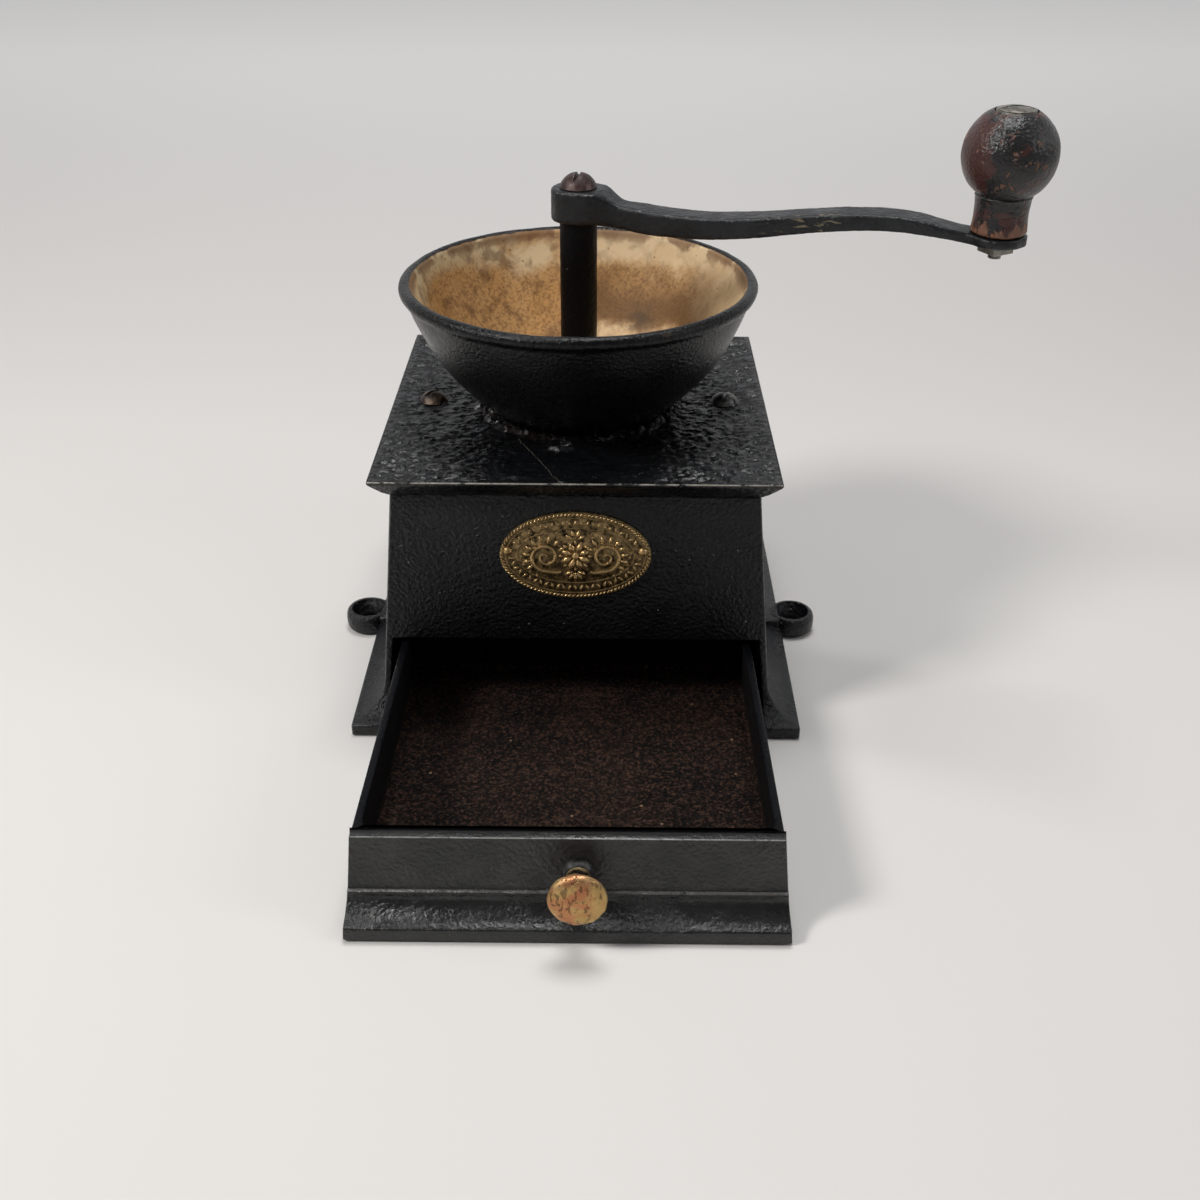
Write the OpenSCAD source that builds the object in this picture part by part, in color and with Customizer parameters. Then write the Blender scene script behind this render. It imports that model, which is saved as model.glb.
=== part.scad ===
// Hand crank coffee mill of the cast box type: a tapered iron box with a drawer,
// an iron deck that carries the hopper bowl and the burrs, and a top crank.
// Millimetres. Z = 0 is the table, X runs to the right, Y runs to the back.

/* [Box casting] */
// Width of the plinth, left to right
base_w = 150; // [125:1:180]
// Depth of the plinth, front to back
base_d = 150; // [125:1:180]
// Height of the box, from the table to its top rim
box_h = 82.3; // [74:0.1:100]
// How far each wall leans in from the plinth to the top rim
wall_lean = 5.9; // [2:0.1:9]
// Thickness of the box walls
box_wall = 3.2; // [2.4:0.1:4.5]
// How far the plinth stands out from the foot of the wall
plinth_reach = 10.6; // [8:0.1:10.9]
// Radius of the hollow moulding above the plinth
cove_r = 11; // [11:0.1:14]
// Thickness of the plinth under the hollow moulding
plinth_t = 4.4; // [3:0.1:7]
// Outer radius of the two screw-down eyes
eye_r = 8.5; // [6.5:0.1:10]
// Radius of the screw hole in each eye
eye_hole_r = 4.3; // [3:0.1:5]
// Height of the eyes
eye_h = 7.6; // [6:0.1:12]
// Distance of each eye's hole from the plinth's edge
eye_out = 4.4; // [3.6:0.1:6]
// How far the eyes sit in front of the middle of the box
eye_forward = 5; // [0:0.5:12]

/* [Deck] */
// Thickness of the deck plate at its edge
deck_t = 7.2; // [5.5:0.1:9]
// How far the deck stands out past the box
deck_over = 6; // [3:0.1:9]
// Depth of the hollow in the deck's underside
deck_hollow = 2.5; // [1:0.1:3]
// Radius of the two deck screws' heads
deck_head_r = 5.05; // [4:0.05:6]
// Radius of the deck screws' threads
deck_screw_r = 2.4; // [1.8:0.1:3]

/* [Hopper bowl] */
// Height of the bowl, from the deck to its rim
bowl_h = 44.5; // [37:0.5:54]
// Outer radius of the rolled rim
rim_r = 59.4; // [50:0.1:71]
// Thickness of the bowl's wall
bowl_wall = 3; // [2.2:0.1:4]
// Radius of the curve of the bowl's side
bowl_curve_r = 76.6; // [60:0.1:120]
// Outer radius of the foot that sits on the deck
foot_r = 30.4; // [29.5:0.1:34]
// Thickness of the bowl's floor
floor_t = 4; // [3:0.1:6]
// Radius of the hole that the beans fall through
throat_r = 16.5; // [13.7:0.1:18]

/* [Burrs and spindle] */
// Radius of the spindle
spindle_r = 6.1; // [5:0.1:7]
// Width of the spindle's squares
square_w = 8.4; // [6.5:0.1:8.4]
// Length of the burr shell below the deck
shell_len = 28.8; // [24:0.1:34]
// Wall of the burr shell around its teeth
shell_wall = 3.7; // [3:0.1:5]
// Gap between the burrs at their widest
burr_gap = 1.3; // [1:0.1:1.8]
// Radius of the adjusting screw
adjust_r = 3.9; // [3:0.1:4.5]
// Clearance of a turning fit, in radius
run_fit = 0.08; // [0.02:0.01:0.1]
// Clearance of a fixed fit, in radius or per side
seat_fit = 0.05; // [0.02:0.01:0.1]
// Clearance between loosely fitted pieces
slack = 0.3; // [0.2:0.05:0.5]

/* [Crank] */
// Distance from the spindle to the knob's bolt
crank_r = 131; // [100:1:150]
// Height of the arm's lowest point above the rim
crank_clear = 17.2; // [6:0.1:30]
// Drop of the arm between its high and low waves
crank_wave = 8.1; // [3:0.1:12]
// Width of the arm
arm_w = 9.6; // [7:0.1:12]
// Height of the arm at its thickest
arm_h = 6.4; // [5:0.1:8]
// Height of the arm at the knob's eye
eye_t = 3; // [2.5:0.1:4]
// Width of the hub on the spindle, between its flat sides
hub_w = 16; // [13.5:0.1:18]
// Height of the hub
hub_h = 10.2; // [7:0.1:11]
// Radius of the knob's ball
ball_r = 13.8; // [11:0.1:18]
// Radius of the knob's neck
neck_r = 8.2; // [6:0.1:9]
// Height of the knob
knob_h = 36; // [31:0.5:45]
// Radius of the knob's bolt
knob_bolt_r = 2; // [1.5:0.1:3]

/* [Drawer] */
// How much of the tray is still inside the box at rest, with the drawer pulled open
drawer_in = 21.65; // [19:0.05:80]
// Gap between the shut tray and the box's back wall
tray_back_gap = 2.1; // [1:0.1:12]
// Thickness of the tray's side walls
tray_wall = 2.4; // [1.8:0.1:3.2]
// Thickness of the drawer's front
drawer_front_t = 3.2; // [2.4:0.1:4.5]
// Gap around the drawer's front in its opening
drawer_gap = 1.2; // [0.5:0.1:1.5]
// How much narrower the tray is at its back, per side
tray_taper = 1.8; // [0:0.1:3]
// Radius of the brass pull
pull_r = 8.1; // [6:0.1:9.5]
// How far the pull sits to the right of the drawer's middle
pull_off = 3; // [0:0.5:8]
// Distance of the pull's disc from the drawer's front
pull_out = 11.2; // [8:0.1:16]

/* [Plaque] */
// Width of the oval plaque
plaque_w = 48.6; // [36:0.2:60]
// Height of the oval plaque
plaque_h = 30; // [22:0.2:34]
// Distance from the box's top rim down to the plaque's middle
plaque_drop = 20.2; // [18:0.1:24]
// Thickness of the plaque
plaque_t = 1.2; // [0.8:0.1:2]

/* [Hidden] */

$fn = 64;
eps = 0.01;
far = 400;

// Heights of the box, the deck and the bowl
cove_z = plinth_t + cove_r;
deck_z = box_h + deck_t;
web_z = box_h + deck_hollow;
rim_z = deck_z + bowl_h;
floor_z = deck_z + floor_t;

// Half sizes of the box: the foot of the wall, the top rim and the deck's edge
foot_x = base_w / 2 - plinth_reach;
foot_y = base_d / 2 - plinth_reach;
top_x = foot_x - wall_lean;
top_y = foot_y - wall_lean;
lean_per_mm = wall_lean / (box_h - cove_z);
lean_angle = atan(lean_per_mm);
function wall_x(z) = foot_x - (z - cove_z) * lean_per_mm;
function wall_y(z) = foot_y - (z - cove_z) * lean_per_mm;

// The deck's screws stand on bosses inside the side walls
edge_break = 0.5;
deck_screw_x = top_x - 8;
deck_head_h = 3.4;
deck_screw_tip_z = box_h - 15.5;
boss_r = 5.4;
boss_h = 20;
eye_x = base_w / 2 + eye_out;
eye_edge = 1.2;

// The works hang under the deck, and the drawer takes the height below them
flange_t = 3.5;
flange_r = foot_r - 1;
hopper_screw_r = 2;
hopper_head_r = 4;
hopper_head_h = 2.3;
hopper_screw_pitch_r = (throat_r + foot_r) / 2 + 0.35;
shell_bore_bottom = throat_r + 1.3;
shell_r = shell_bore_bottom + shell_wall;
shell_z = web_z - shell_len;
post_r = 6;
post_web = 4;
post_y = shell_r + post_r;
bridge_t = 5;
bridge_rise = 6;
bridge_z = shell_z - bridge_rise - bridge_t;
bridge_w = 13;
bridge_screw_r = 2.2;
bridge_screw_in = 11;
bridge_head_r = 4.2;
bridge_head_h = 3;
step_boss_r = 9.5;
step_boss_below = 2;
step_boss_above = 1;
footstep_r = 6;
footstep_t = 4.5;
footstep_socket = 1.5;
footstep_z = bridge_z + 3.5;
adjust_tip_z = footstep_z;
lock_nut_t = 4;
lock_nut_flats = 14;
lock_nut_gap = 2.1;
thumb_t = 4;
wing_reach = 12;
wing_r = 3.2;
thumb_z = bridge_z - step_boss_below - lock_nut_t - lock_nut_gap - thumb_t;
works_gap = 1.6;
bay_h = thumb_z - works_gap;

// The spindle, from its footstep to the hub of the crank
spindle_z = footstep_z + footstep_t - footstep_socket;
journal_r = 4;
cone_z = shell_z + 1.2;
cone_h = 20.8;
cone_top_r = square_w / 2 * sqrt(2) + 2.6;
cone_bottom_r = throat_r + 1.2 - burr_gap;
shoulder_z = cone_z + cone_h;
pin_r = 1.25;
pin_len = 14.4;
pin_z = cone_z - pin_r;
guide_t = 5;
guide_r = spindle_r + 2.5;
guide_arm_w = 6;

// Heights and stations of the crank, along its arm from the spindle
arm_low = rim_z + crank_clear;
hub_rise = 1.6;
hub_z = arm_low + hub_rise;
hub_r = hub_w / 2 + 0.9;
arm_swell = 1.5;
hub_top = hub_z + hub_h;
tang_top = hub_top - 0.5;
wave_low_s = crank_r * 0.26;
wave_high_s = crank_r * 0.786;
eye_flat_s = crank_r * 0.97;
eye_drop = 2.1;
knob_eye_r = neck_r + 0.4;
eye_z = arm_low + crank_wave - eye_drop;
knob_z = eye_z + eye_t + slack;
ball_z = knob_z + knob_h - ball_r + 0.3;
knob_top = knob_z + knob_h;
crank_turn = -17;
crank_screw_r = 2.4;
crank_screw_in = 10;
crank_head_r = 6.1;
crank_head_h = 4.8;
knob_recess_r = 6.2;
knob_recess = 2.3;
washer_r = 5.7;
washer_t = 0.8;
washer_z = knob_top - knob_recess + slack;
knob_head_r = 5.7;
knob_head_h = 1.2;
knob_head_z = washer_z + washer_t;
knob_nut_t = 2.8;
knob_nut_flats = 7.6;
knob_nut_turn = 46;
knob_bolt_end_z = eye_z - knob_nut_t - 1.6;

// The drawer and its opening in the front of the box
drawer_h = bay_h - 1.8;
drawer_low = 0.3;
runner_t = 2;
runner_w = 6;
tray_z = runner_t + slack;
tray_floor_t = 2.4;
tray_back_t = 2.5;
front_spread = 3;
bay_x = wall_x(bay_h) - 2.5;
drawer_plinth_back = 2;
pull_z = drawer_h - 10.5;
pull_t = 3.9;
stud_r = 2.4;
stud_pin_r = 2;
stud_collar_r = 3.9;
stud_collar_h = 3.2;
pull_nut_t = 3;
pull_nut_flats = 8;
bead_r = 1.1;
bead_z = plinth_t + 6.4;
tray_back = wall_y(drawer_h) - box_wall - tray_back_gap;
drawer_out = tray_back + wall_y(bay_h) - box_wall - drawer_in;

IRON = [0.11, 0.115, 0.125];
WORN_IRON = [0.32, 0.31, 0.30];
ENAMEL = [0.80, 0.74, 0.62];
BRASS = [0.62, 0.46, 0.22];
RUST = [0.27, 0.17, 0.12];
WOOD = [0.33, 0.15, 0.09];
STEEL = [0.60, 0.60, 0.57];
BRONZE = [0.42, 0.28, 0.21];

// ---- shared shapes ----

// A moulding run round the box: the outline seen from the front, cut by the one seen from the side
module mitred(depth = far) {
    intersection() {
        rotate([90, 0, 0]) linear_extrude(height = depth, center = true) children(0);
        rotate([90, 0, 90]) linear_extrude(height = depth, center = true) children(1);
    }
}

// Outline of the box seen from one side: plinth, hollow moulding and leaning wall
module box_outline(base_half, foot_half, top_half) {
    difference() {
        polygon([[-base_half, 0], [base_half, 0], [base_half, cove_z], [foot_half, cove_z],
                 [top_half, box_h], [-top_half, box_h], [-foot_half, cove_z], [-base_half, cove_z]]);
        for (side = [-1, 1])
            translate([side * (foot_half + cove_r), cove_z]) circle(r = cove_r);
    }
}

// Outline of the space inside the walls, running past both ends
module hollow_outline(foot_half) {
    inner = foot_half - box_wall;
    low = inner + (cove_z + 1) * lean_per_mm;
    high = inner - (box_h + 1 - cove_z) * lean_per_mm;
    polygon([[-low, -1], [low, -1], [high, box_h + 1], [-high, box_h + 1]]);
}

// Outline of the deck's edge: a square edge over a slanted and hollowed underside
module deck_outline(top_half) {
    edge = top_half + deck_over;
    lip = top_half + 0.4;
    slope = top_half + deck_over * 0.42;
    slope_z = box_h + deck_t * 0.27;
    square_z = box_h + deck_t * 0.83;
    polygon([[-lip, box_h], [lip, box_h], [slope, slope_z],
             [edge, square_z], [edge, deck_z - edge_break], [edge - edge_break, deck_z],
             [-edge + edge_break, deck_z], [-edge, deck_z - edge_break], [-edge, square_z],
             [-slope, slope_z]]);
}

// Stands children on the front of the box at height z, their Z outwards and their Y up the wall
module on_front(z) {
    translate([0, -wall_y(z), z]) rotate([90 - lean_angle, 0, 0]) children();
}

// Stands children on the face of the drawer's front, at the pull
module on_pull() {
    translate([pull_off, -drawer_out, 0]) on_front(pull_z) children();
}

// A domed screw head with a slot, standing on Z = 0
module dome_head(r, h, slot_w, slot_d, turn = 0) {
    ball = (r * r + h * h) / (2 * h);
    difference() {
        intersection() {
            translate([0, 0, h - ball]) sphere(r = ball);
            cylinder(r = r + eps, h = h);
        }
        rotate([0, 0, turn]) translate([-r - 1, -slot_w / 2, h - slot_d])
            cube([2 * r + 2, slot_w, slot_d + 1]);
    }
}

// A ring of copies round the Z axis
module ring_of(count, start = 0) {
    for (i = [0 : count - 1]) rotate([0, 0, start + i * 360 / count]) children();
}

// A hexagon nut or a square nut, by its number of sides, with its thread hole
module nut(sides, flats, t, hole_r) {
    difference() {
        rotate([0, 0, 180 / sides]) cylinder(r = flats / 2 / cos(180 / sides), h = t, $fn = sides);
        translate([0, 0, -1]) cylinder(r = hole_r, h = t + 2);
    }
}

// ---- box and deck ----

module box_casting() color(IRON) {
    difference() {
        union() {
            difference() {
                mitred() {
                    box_outline(base_w / 2, foot_x, top_x);
                    box_outline(base_d / 2, foot_y, top_y);
                }
                mitred() {
                    hollow_outline(foot_x);
                    hollow_outline(foot_y);
                }
                // Opening for the drawer, which spreads towards the table
                translate([0, -wall_y(bay_h) + box_wall + 1, 0]) rotate([90, 0, 0])
                    linear_extrude(height = base_d)
                        polygon([[-bay_x - front_spread, -1], [bay_x + front_spread, -1],
                                 [bay_x, bay_h], [-bay_x, bay_h]]);
            }
            box_runners();
            box_eyes();
            for (side = [-1, 1]) intersection() {
                translate([side * deck_screw_x, 0, box_h - boss_h]) cylinder(r = boss_r, h = boss_h);
                mitred() {
                    boss_limit_outline(top_x - box_wall / 2);
                    boss_limit_outline(top_y);
                }
            }
        }
        for (side = [-1, 1]) {
            translate([side * deck_screw_x, 0, box_h - boss_h + 3])
                cylinder(r = deck_screw_r + seat_fit, h = boss_h);
            translate([side * eye_x, -eye_forward, -1]) cylinder(r = eye_hole_r, h = eye_h + 2);
        }
        plaque_rivet_holes();
    }
}

// A plain block outline that keeps the bosses inside the leaning walls
module boss_limit_outline(half) {
    polygon([[-half - wall_lean * 0.3, box_h - boss_h - 1], [half + wall_lean * 0.3, box_h - boss_h - 1],
             [half, box_h], [-half, box_h]]);
}

// Two ledges inside the side walls that carry the tray
module box_runners() {
    inner = wall_x(0) - box_wall;
    front = -wall_y(bay_h) + box_wall + 1.2;
    for (side = [-1, 1])
        translate([side > 0 ? inner - runner_w : -inner - 1, front, 0])
            cube([runner_w + 1, wall_y(0) - box_wall + 1 - front, runner_t]);
}

// Eyes cast on the sides of the plinth, to screw the mill to a table
module box_eyes() {
    for (side = [-1, 1]) {
        translate([side * eye_x, -eye_forward, 0]) {
            cylinder(r = eye_r, h = eye_h - eye_edge);
            translate([0, 0, eye_h - eye_edge]) cylinder(r1 = eye_r, r2 = eye_r - eye_edge, h = eye_edge);
        }
        translate([side > 0 ? foot_x : -eye_x, -eye_forward - eye_r * 0.8, 0])
            cube([eye_x - foot_x, eye_r * 1.6, eye_h - eye_edge / 2]);
    }
}

module deck_plate() color(IRON) difference() {
    mitred() {
        deck_outline(top_x);
        deck_outline(top_y);
    }
    // Hollow underside, inside the box's rim and clear of its bosses
    translate([0, 0, box_h - 1]) linear_extrude(height = deck_hollow + 1) difference() {
        square([2 * (top_x - box_wall - 2), 2 * (top_y - box_wall - 2)], center = true);
        for (side = [-1, 1]) translate([side * deck_screw_x, 0]) circle(r = boss_r + 0.6);
    }
    translate([0, 0, box_h - 1]) cylinder(r = throat_r, h = deck_t + 2);
    ring_of(3, 30) translate([hopper_screw_pitch_r, 0, box_h - 1])
        cylinder(r = hopper_screw_r + seat_fit, h = deck_t + 2);
    for (side = [-1, 1]) translate([side * deck_screw_x, 0, box_h - 1])
        cylinder(r = deck_screw_r + seat_fit, h = deck_t + 2);
}

module deck_screws() color(BRONZE) for (side = [-1, 1]) {
    translate([side * deck_screw_x, 0, deck_z])
        dome_head(deck_head_r, deck_head_h, 1.3, 1.3, side < 0 ? 35 : 80);
    translate([side * deck_screw_x, 0, deck_screw_tip_z])
        cylinder(r = deck_screw_r, h = deck_z - deck_screw_tip_z + eps);
}

// ---- hopper ----

// The bowl's side is an arc through the edge of the foot and the rim, hollow towards the spindle
bowl_low_r = foot_r - 1.6;
bowl_high_r = rim_r - 0.8;
chord = norm([bowl_high_r - bowl_low_r, bowl_h]);
sagitta_leg = sqrt(bowl_curve_r * bowl_curve_r - chord * chord / 4);
bowl_centre = [(bowl_low_r + bowl_high_r) / 2 - sagitta_leg * bowl_h / chord,
               (deck_z + rim_z) / 2 + sagitta_leg * (bowl_high_r - bowl_low_r) / chord];
function bowl_inner_r(z) =
    bowl_centre[0] + sqrt(pow(bowl_curve_r - bowl_wall, 2) - pow(bowl_centre[1] - z, 2));
roll_r = (rim_r - bowl_inner_r(rim_z - 1.85)) / 2;

module hopper_bowl() color(ENAMEL) difference() {
    rotate_extrude() {
        difference() {
            intersection() {
                translate(bowl_centre) circle(r = bowl_curve_r);
                translate([throat_r, deck_z]) square([rim_r, bowl_h - roll_r]);
            }
            intersection() {
                translate(bowl_centre) circle(r = bowl_curve_r - bowl_wall);
                translate([0, floor_z]) square([far, far]);
            }
        }
        translate([rim_r - roll_r, rim_z - roll_r]) circle(r = roll_r);
        translate([throat_r, deck_z]) square([foot_r - throat_r, 1.6]);
    }
    ring_of(3, 30) translate([hopper_screw_pitch_r, 0, 0]) {
        translate([0, 0, deck_z - 1]) cylinder(r = hopper_screw_r + seat_fit, h = floor_t + 2);
        translate([0, 0, floor_z - hopper_head_h])
            cylinder(r1 = hopper_screw_r + seat_fit, r2 = hopper_head_r + seat_fit, h = hopper_head_h + eps);
    }
}

// Countersunk screws through the bowl's floor and the deck into the shell's flange
module hopper_screws() color(WORN_IRON) ring_of(3, 30) translate([hopper_screw_pitch_r, 0, 0]) difference() {
    union() {
        translate([0, 0, web_z - flange_t]) cylinder(r = hopper_screw_r, h = floor_z - 1 - web_z + flange_t);
        translate([0, 0, floor_z - hopper_head_h])
            cylinder(r1 = hopper_screw_r, r2 = hopper_head_r, h = hopper_head_h);
    }
    translate([-hopper_head_r - 1, -0.5, floor_z - 0.9]) cube([2 * hopper_head_r + 2, 1, 2]);
}

// ---- burrs ----

module burr_shell() color(WORN_IRON) difference() {
    union() {
        difference() {
            union() {
                translate([0, 0, web_z - flange_t]) cylinder(r = flange_r, h = flange_t);
                translate([0, 0, shell_z]) cylinder(r = shell_r, h = shell_len);
                for (side = [-1, 1]) {
                    translate([0, side * post_y, shell_z]) cylinder(r = post_r, h = shell_len);
                    translate([-post_web / 2, side > 0 ? shell_r - 2 : -post_y, shell_z])
                        cube([post_web, post_r + 2, shell_len]);
                }
            }
            translate([0, 0, shell_z - eps])
                cylinder(r1 = shell_bore_bottom, r2 = throat_r, h = shell_len + 2 * eps);
            shell_teeth();
        }
        // Guide for the spindle across the mouth of the shell
        translate([0, 0, web_z - guide_t]) {
            cylinder(r = guide_r, h = guide_t);
            translate([-throat_r - 1, -guide_arm_w / 2, 0]) cube([2 * throat_r + 2, guide_arm_w, guide_t]);
        }
    }
    translate([0, 0, web_z - guide_t - 1]) cylinder(r = spindle_r + run_fit, h = guide_t + 2);
    ring_of(3, 30) translate([hopper_screw_pitch_r, 0, web_z - flange_t - 1])
        cylinder(r = hopper_screw_r + seat_fit, h = flange_t + 2);
    for (side = [-1, 1]) translate([0, side * post_y, shell_z - 1])
        cylinder(r = bridge_screw_r + seat_fit, h = bridge_screw_in + 1.5);
}

// Slanting grooves cut outwards from the shell's bore
module shell_teeth() {
    ring_of(18) translate([shell_bore_bottom - 0.2, 0, shell_z - 1]) rotate([12, 0, 0])
        rotate([0, 0, 45]) translate([-0.8, -0.8, 0]) cube([1.6, 1.6, shell_len - guide_t - 1]);
}

module burr_cone() color(WORN_IRON) difference() {
    union() {
        translate([0, 0, cone_z + 3]) cylinder(r1 = cone_bottom_r, r2 = cone_top_r, h = cone_h - 3);
        translate([0, 0, cone_z]) cylinder(r = cone_bottom_r, h = 3);
    }
    translate([0, 0, cone_z - 1]) linear_extrude(height = cone_h + 2)
        square(square_w + 2 * seat_fit, center = true);
    // Six deep slanting flutes that break the beans, and fine teeth round the skirt
    ring_of(6) translate([cone_top_r + 1.9, 0, cone_z + 5]) rotate([24, 16, 0])
        rotate([0, 0, 45]) cube([3.4, 3.4, cone_h * 2], center = true);
    ring_of(24) translate([cone_bottom_r + 0.2, 0, cone_z + 2]) rotate([14, 0, 0])
        rotate([0, 0, 45]) cube([1.3, 1.3, 7], center = true);
}

// Cross pin under the cone, through the spindle's journal
module burr_pin() color(STEEL)
    translate([-pin_len / 2, 0, pin_z]) rotate([0, 90, 0]) cylinder(r = pin_r, h = pin_len);

module spindle() color(IRON) difference() {
    union() {
        translate([0, 0, spindle_z]) cylinder(r = journal_r, h = cone_z - spindle_z + eps);
        translate([0, 0, cone_z]) linear_extrude(height = cone_h) square(square_w, center = true);
        translate([0, 0, shoulder_z]) cylinder(r = spindle_r, h = hub_z - shoulder_z);
        translate([0, 0, hub_z]) rotate([0, 0, crank_turn]) linear_extrude(height = tang_top - hub_z)
            square(square_w, center = true);
    }
    translate([0, 0, tang_top - crank_screw_in - 2])
        cylinder(r = crank_screw_r + seat_fit, h = crank_screw_in + 3);
    translate([-pin_len / 2 - 1, 0, pin_z]) rotate([0, 90, 0])
        cylinder(r = pin_r + seat_fit, h = pin_len + 2);
}

// ---- lower bearing ----

module bearing_bridge() color(WORN_IRON) difference() {
    union() {
        translate([-bridge_w / 2, -post_y, bridge_z]) cube([bridge_w, 2 * post_y, bridge_t]);
        for (side = [-1, 1]) translate([0, side * post_y, bridge_z])
            cylinder(r = bridge_w / 2, h = bridge_t + bridge_rise);
        translate([0, 0, bridge_z - step_boss_below])
            cylinder(r = step_boss_r, h = bridge_t + step_boss_below + step_boss_above);
    }
    translate([0, 0, bridge_z - step_boss_below - 1]) cylinder(r = adjust_r + run_fit, h = far);
    translate([0, 0, bridge_z + 2]) cylinder(r = footstep_r + run_fit, h = far);
    for (side = [-1, 1]) translate([0, side * post_y, bridge_z - 1])
        cylinder(r = bridge_screw_r + seat_fit, h = far);
}

module bridge_screws() color(STEEL) for (side = [-1, 1]) translate([0, side * post_y, 0]) difference() {
    union() {
        translate([0, 0, bridge_z - bridge_head_h]) cylinder(r = bridge_head_r, h = bridge_head_h);
        translate([0, 0, bridge_z - eps])
            cylinder(r = bridge_screw_r, h = bridge_t + bridge_rise + bridge_screw_in);
    }
    translate([-bridge_head_r - 1, -0.6, bridge_z - bridge_head_h - 1])
        cube([2 * bridge_head_r + 2, 1.2, 2.2]);
}

// Step bearing that the screw pushes up under the spindle
module footstep() color(BRASS) translate([0, 0, footstep_z]) difference() {
    cylinder(r = footstep_r, h = footstep_t);
    translate([0, 0, footstep_t - footstep_socket])
        cylinder(r = journal_r + run_fit, h = footstep_socket + 1);
}

// Fineness screw: a wing-shaped head below, and a thread up through the bridge
module adjusting_screw() color(STEEL) {
    translate([0, 0, thumb_z + thumb_t - eps])
        cylinder(r = adjust_r, h = adjust_tip_z - thumb_z - thumb_t + eps);
    translate([0, 0, thumb_z]) {
        cylinder(r = adjust_r + 2.1, h = thumb_t);
        translate([-wing_reach, -wing_r / 2, 0]) cube([2 * wing_reach, wing_r, thumb_t]);
        for (side = [-1, 1]) translate([side * wing_reach, 0, 0]) cylinder(r = wing_r, h = thumb_t);
    }
}

module lock_nut() color(STEEL)
    translate([0, 0, bridge_z - step_boss_below - lock_nut_t])
        nut(6, lock_nut_flats, lock_nut_t, adjust_r + run_fit);

// ---- crank ----

// Height of the arm's underside at distance s from the spindle: down, up and down again
function wave(s, from, to) = (1 - cos(180 * (s - from) / (to - from))) / 2;
function arm_under(s) =
    s < wave_low_s ? arm_low + (hub_rise - 0.15) * pow((wave_low_s - s) / (wave_low_s - hub_w / 2), 2) :
    s < wave_high_s ? arm_low + crank_wave * wave(s, wave_low_s, wave_high_s) :
    s < eye_flat_s ? eye_z + eye_drop * (1 - wave(s, wave_high_s, eye_flat_s)) : eye_z;
function arm_thick(s) =
    s < wave_low_s ? arm_h + arm_swell * pow((wave_low_s - s) / (wave_low_s - hub_w / 2), 2) :
    s < eye_flat_s ? eye_t + (arm_h - eye_t) * (eye_flat_s - s) / (eye_flat_s - wave_low_s) : eye_t;
// The hub's top falls to the arm in a quarter wave
hub_fall_s = 6.8;
function arm_top(s) =
    let (plain = arm_under(s) + arm_thick(s), fall = (s - hub_fall_s) / 8)
    s < hub_fall_s ? hub_top : fall < 1 ? plain + (hub_top - plain) * (1 + cos(180 * fall)) / 2 : plain;
arm_steps = 48;
arm_end = crank_r + knob_eye_r;
function station(i) = hub_w / 2 + (arm_end - hub_w / 2) * i / arm_steps;

module arm_side_outline() polygon(concat(
    [[-hub_r - 1, hub_top], [-hub_r - 1, hub_z], [hub_w / 2 - eps, hub_z]],
    [for (i = [0 : arm_steps]) [station(i), arm_under(station(i))]],
    [for (i = [arm_steps : -1 : 1]) [station(i), arm_top(station(i))]],
    [[hub_fall_s, hub_top]]));

module arm_plan_outline() {
    corner = 2.6;
    half = hub_w / 2;
    intersection() {
        circle(r = hub_r);
        square([3 * hub_r, hub_w], center = true);
    }
    polygon([[0, -half], [half - corner, -half], [half + 5.5, -arm_w / 2], [crank_r - 8, -arm_w / 2],
             [crank_r, -knob_eye_r + 0.8], [crank_r, knob_eye_r - 0.8], [crank_r - 8, arm_w / 2],
             [half + 5.5, arm_w / 2], [half - corner, half], [0, half]]);
    translate([crank_r, 0]) circle(r = knob_eye_r);
}

module crank_arm() color(IRON) rotate([0, 0, crank_turn]) difference() {
    intersection() {
        rotate([90, 0, 0]) linear_extrude(height = 40, center = true) arm_side_outline();
        translate([0, 0, arm_low - 20]) linear_extrude(height = 60) arm_plan_outline();
    }
    translate([0, 0, hub_z - 1]) linear_extrude(height = hub_h + 2)
        square(square_w + 2 * seat_fit, center = true);
    translate([crank_r, 0, eye_z - 1]) cylinder(r = knob_bolt_r + seat_fit, h = eye_t + 2);
}

module crank_screw() color(BRONZE) {
    translate([0, 0, hub_top]) dome_head(crank_head_r, crank_head_h, 1.5, 1.7, 80);
    translate([0, 0, tang_top - crank_screw_in])
        cylinder(r = crank_screw_r, h = crank_screw_in + hub_top - tang_top + eps);
}

// Turned handle: a neck that runs into a ball, bored for its bolt
module crank_knob() color(WOOD) rotate([0, 0, crank_turn]) translate([crank_r, 0, 0]) difference() {
    rotate_extrude() difference() {
        union() {
            translate([0, ball_z]) polygon([[0, knob_z - ball_z], [neck_r, knob_z - ball_z],
                                            [neck_r, knob_z - ball_z + 1.2], [neck_r - 0.5, -ball_r * 0.8],
                                            [neck_r + 0.4, -ball_r * 0.75], [0, 0]]);
            intersection() {
                translate([0, ball_z]) circle(r = ball_r);
                translate([0, knob_z]) square([ball_r, knob_h]);
            }
        }
        translate([-ball_r - 1, knob_z]) square([ball_r + 1, knob_h + 2]);
    }
    translate([0, 0, knob_z - 1]) cylinder(r = knob_bolt_r + run_fit, h = knob_h + 2);
    translate([0, 0, knob_top - knob_recess]) cylinder(r = knob_recess_r, h = knob_recess + 1);
}

module knob_washer() color(STEEL) rotate([0, 0, crank_turn]) translate([crank_r, 0, washer_z]) difference() {
    cylinder(r = washer_r, h = washer_t);
    translate([0, 0, -1]) cylinder(r = knob_bolt_r + seat_fit, h = washer_t + 2);
}

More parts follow.
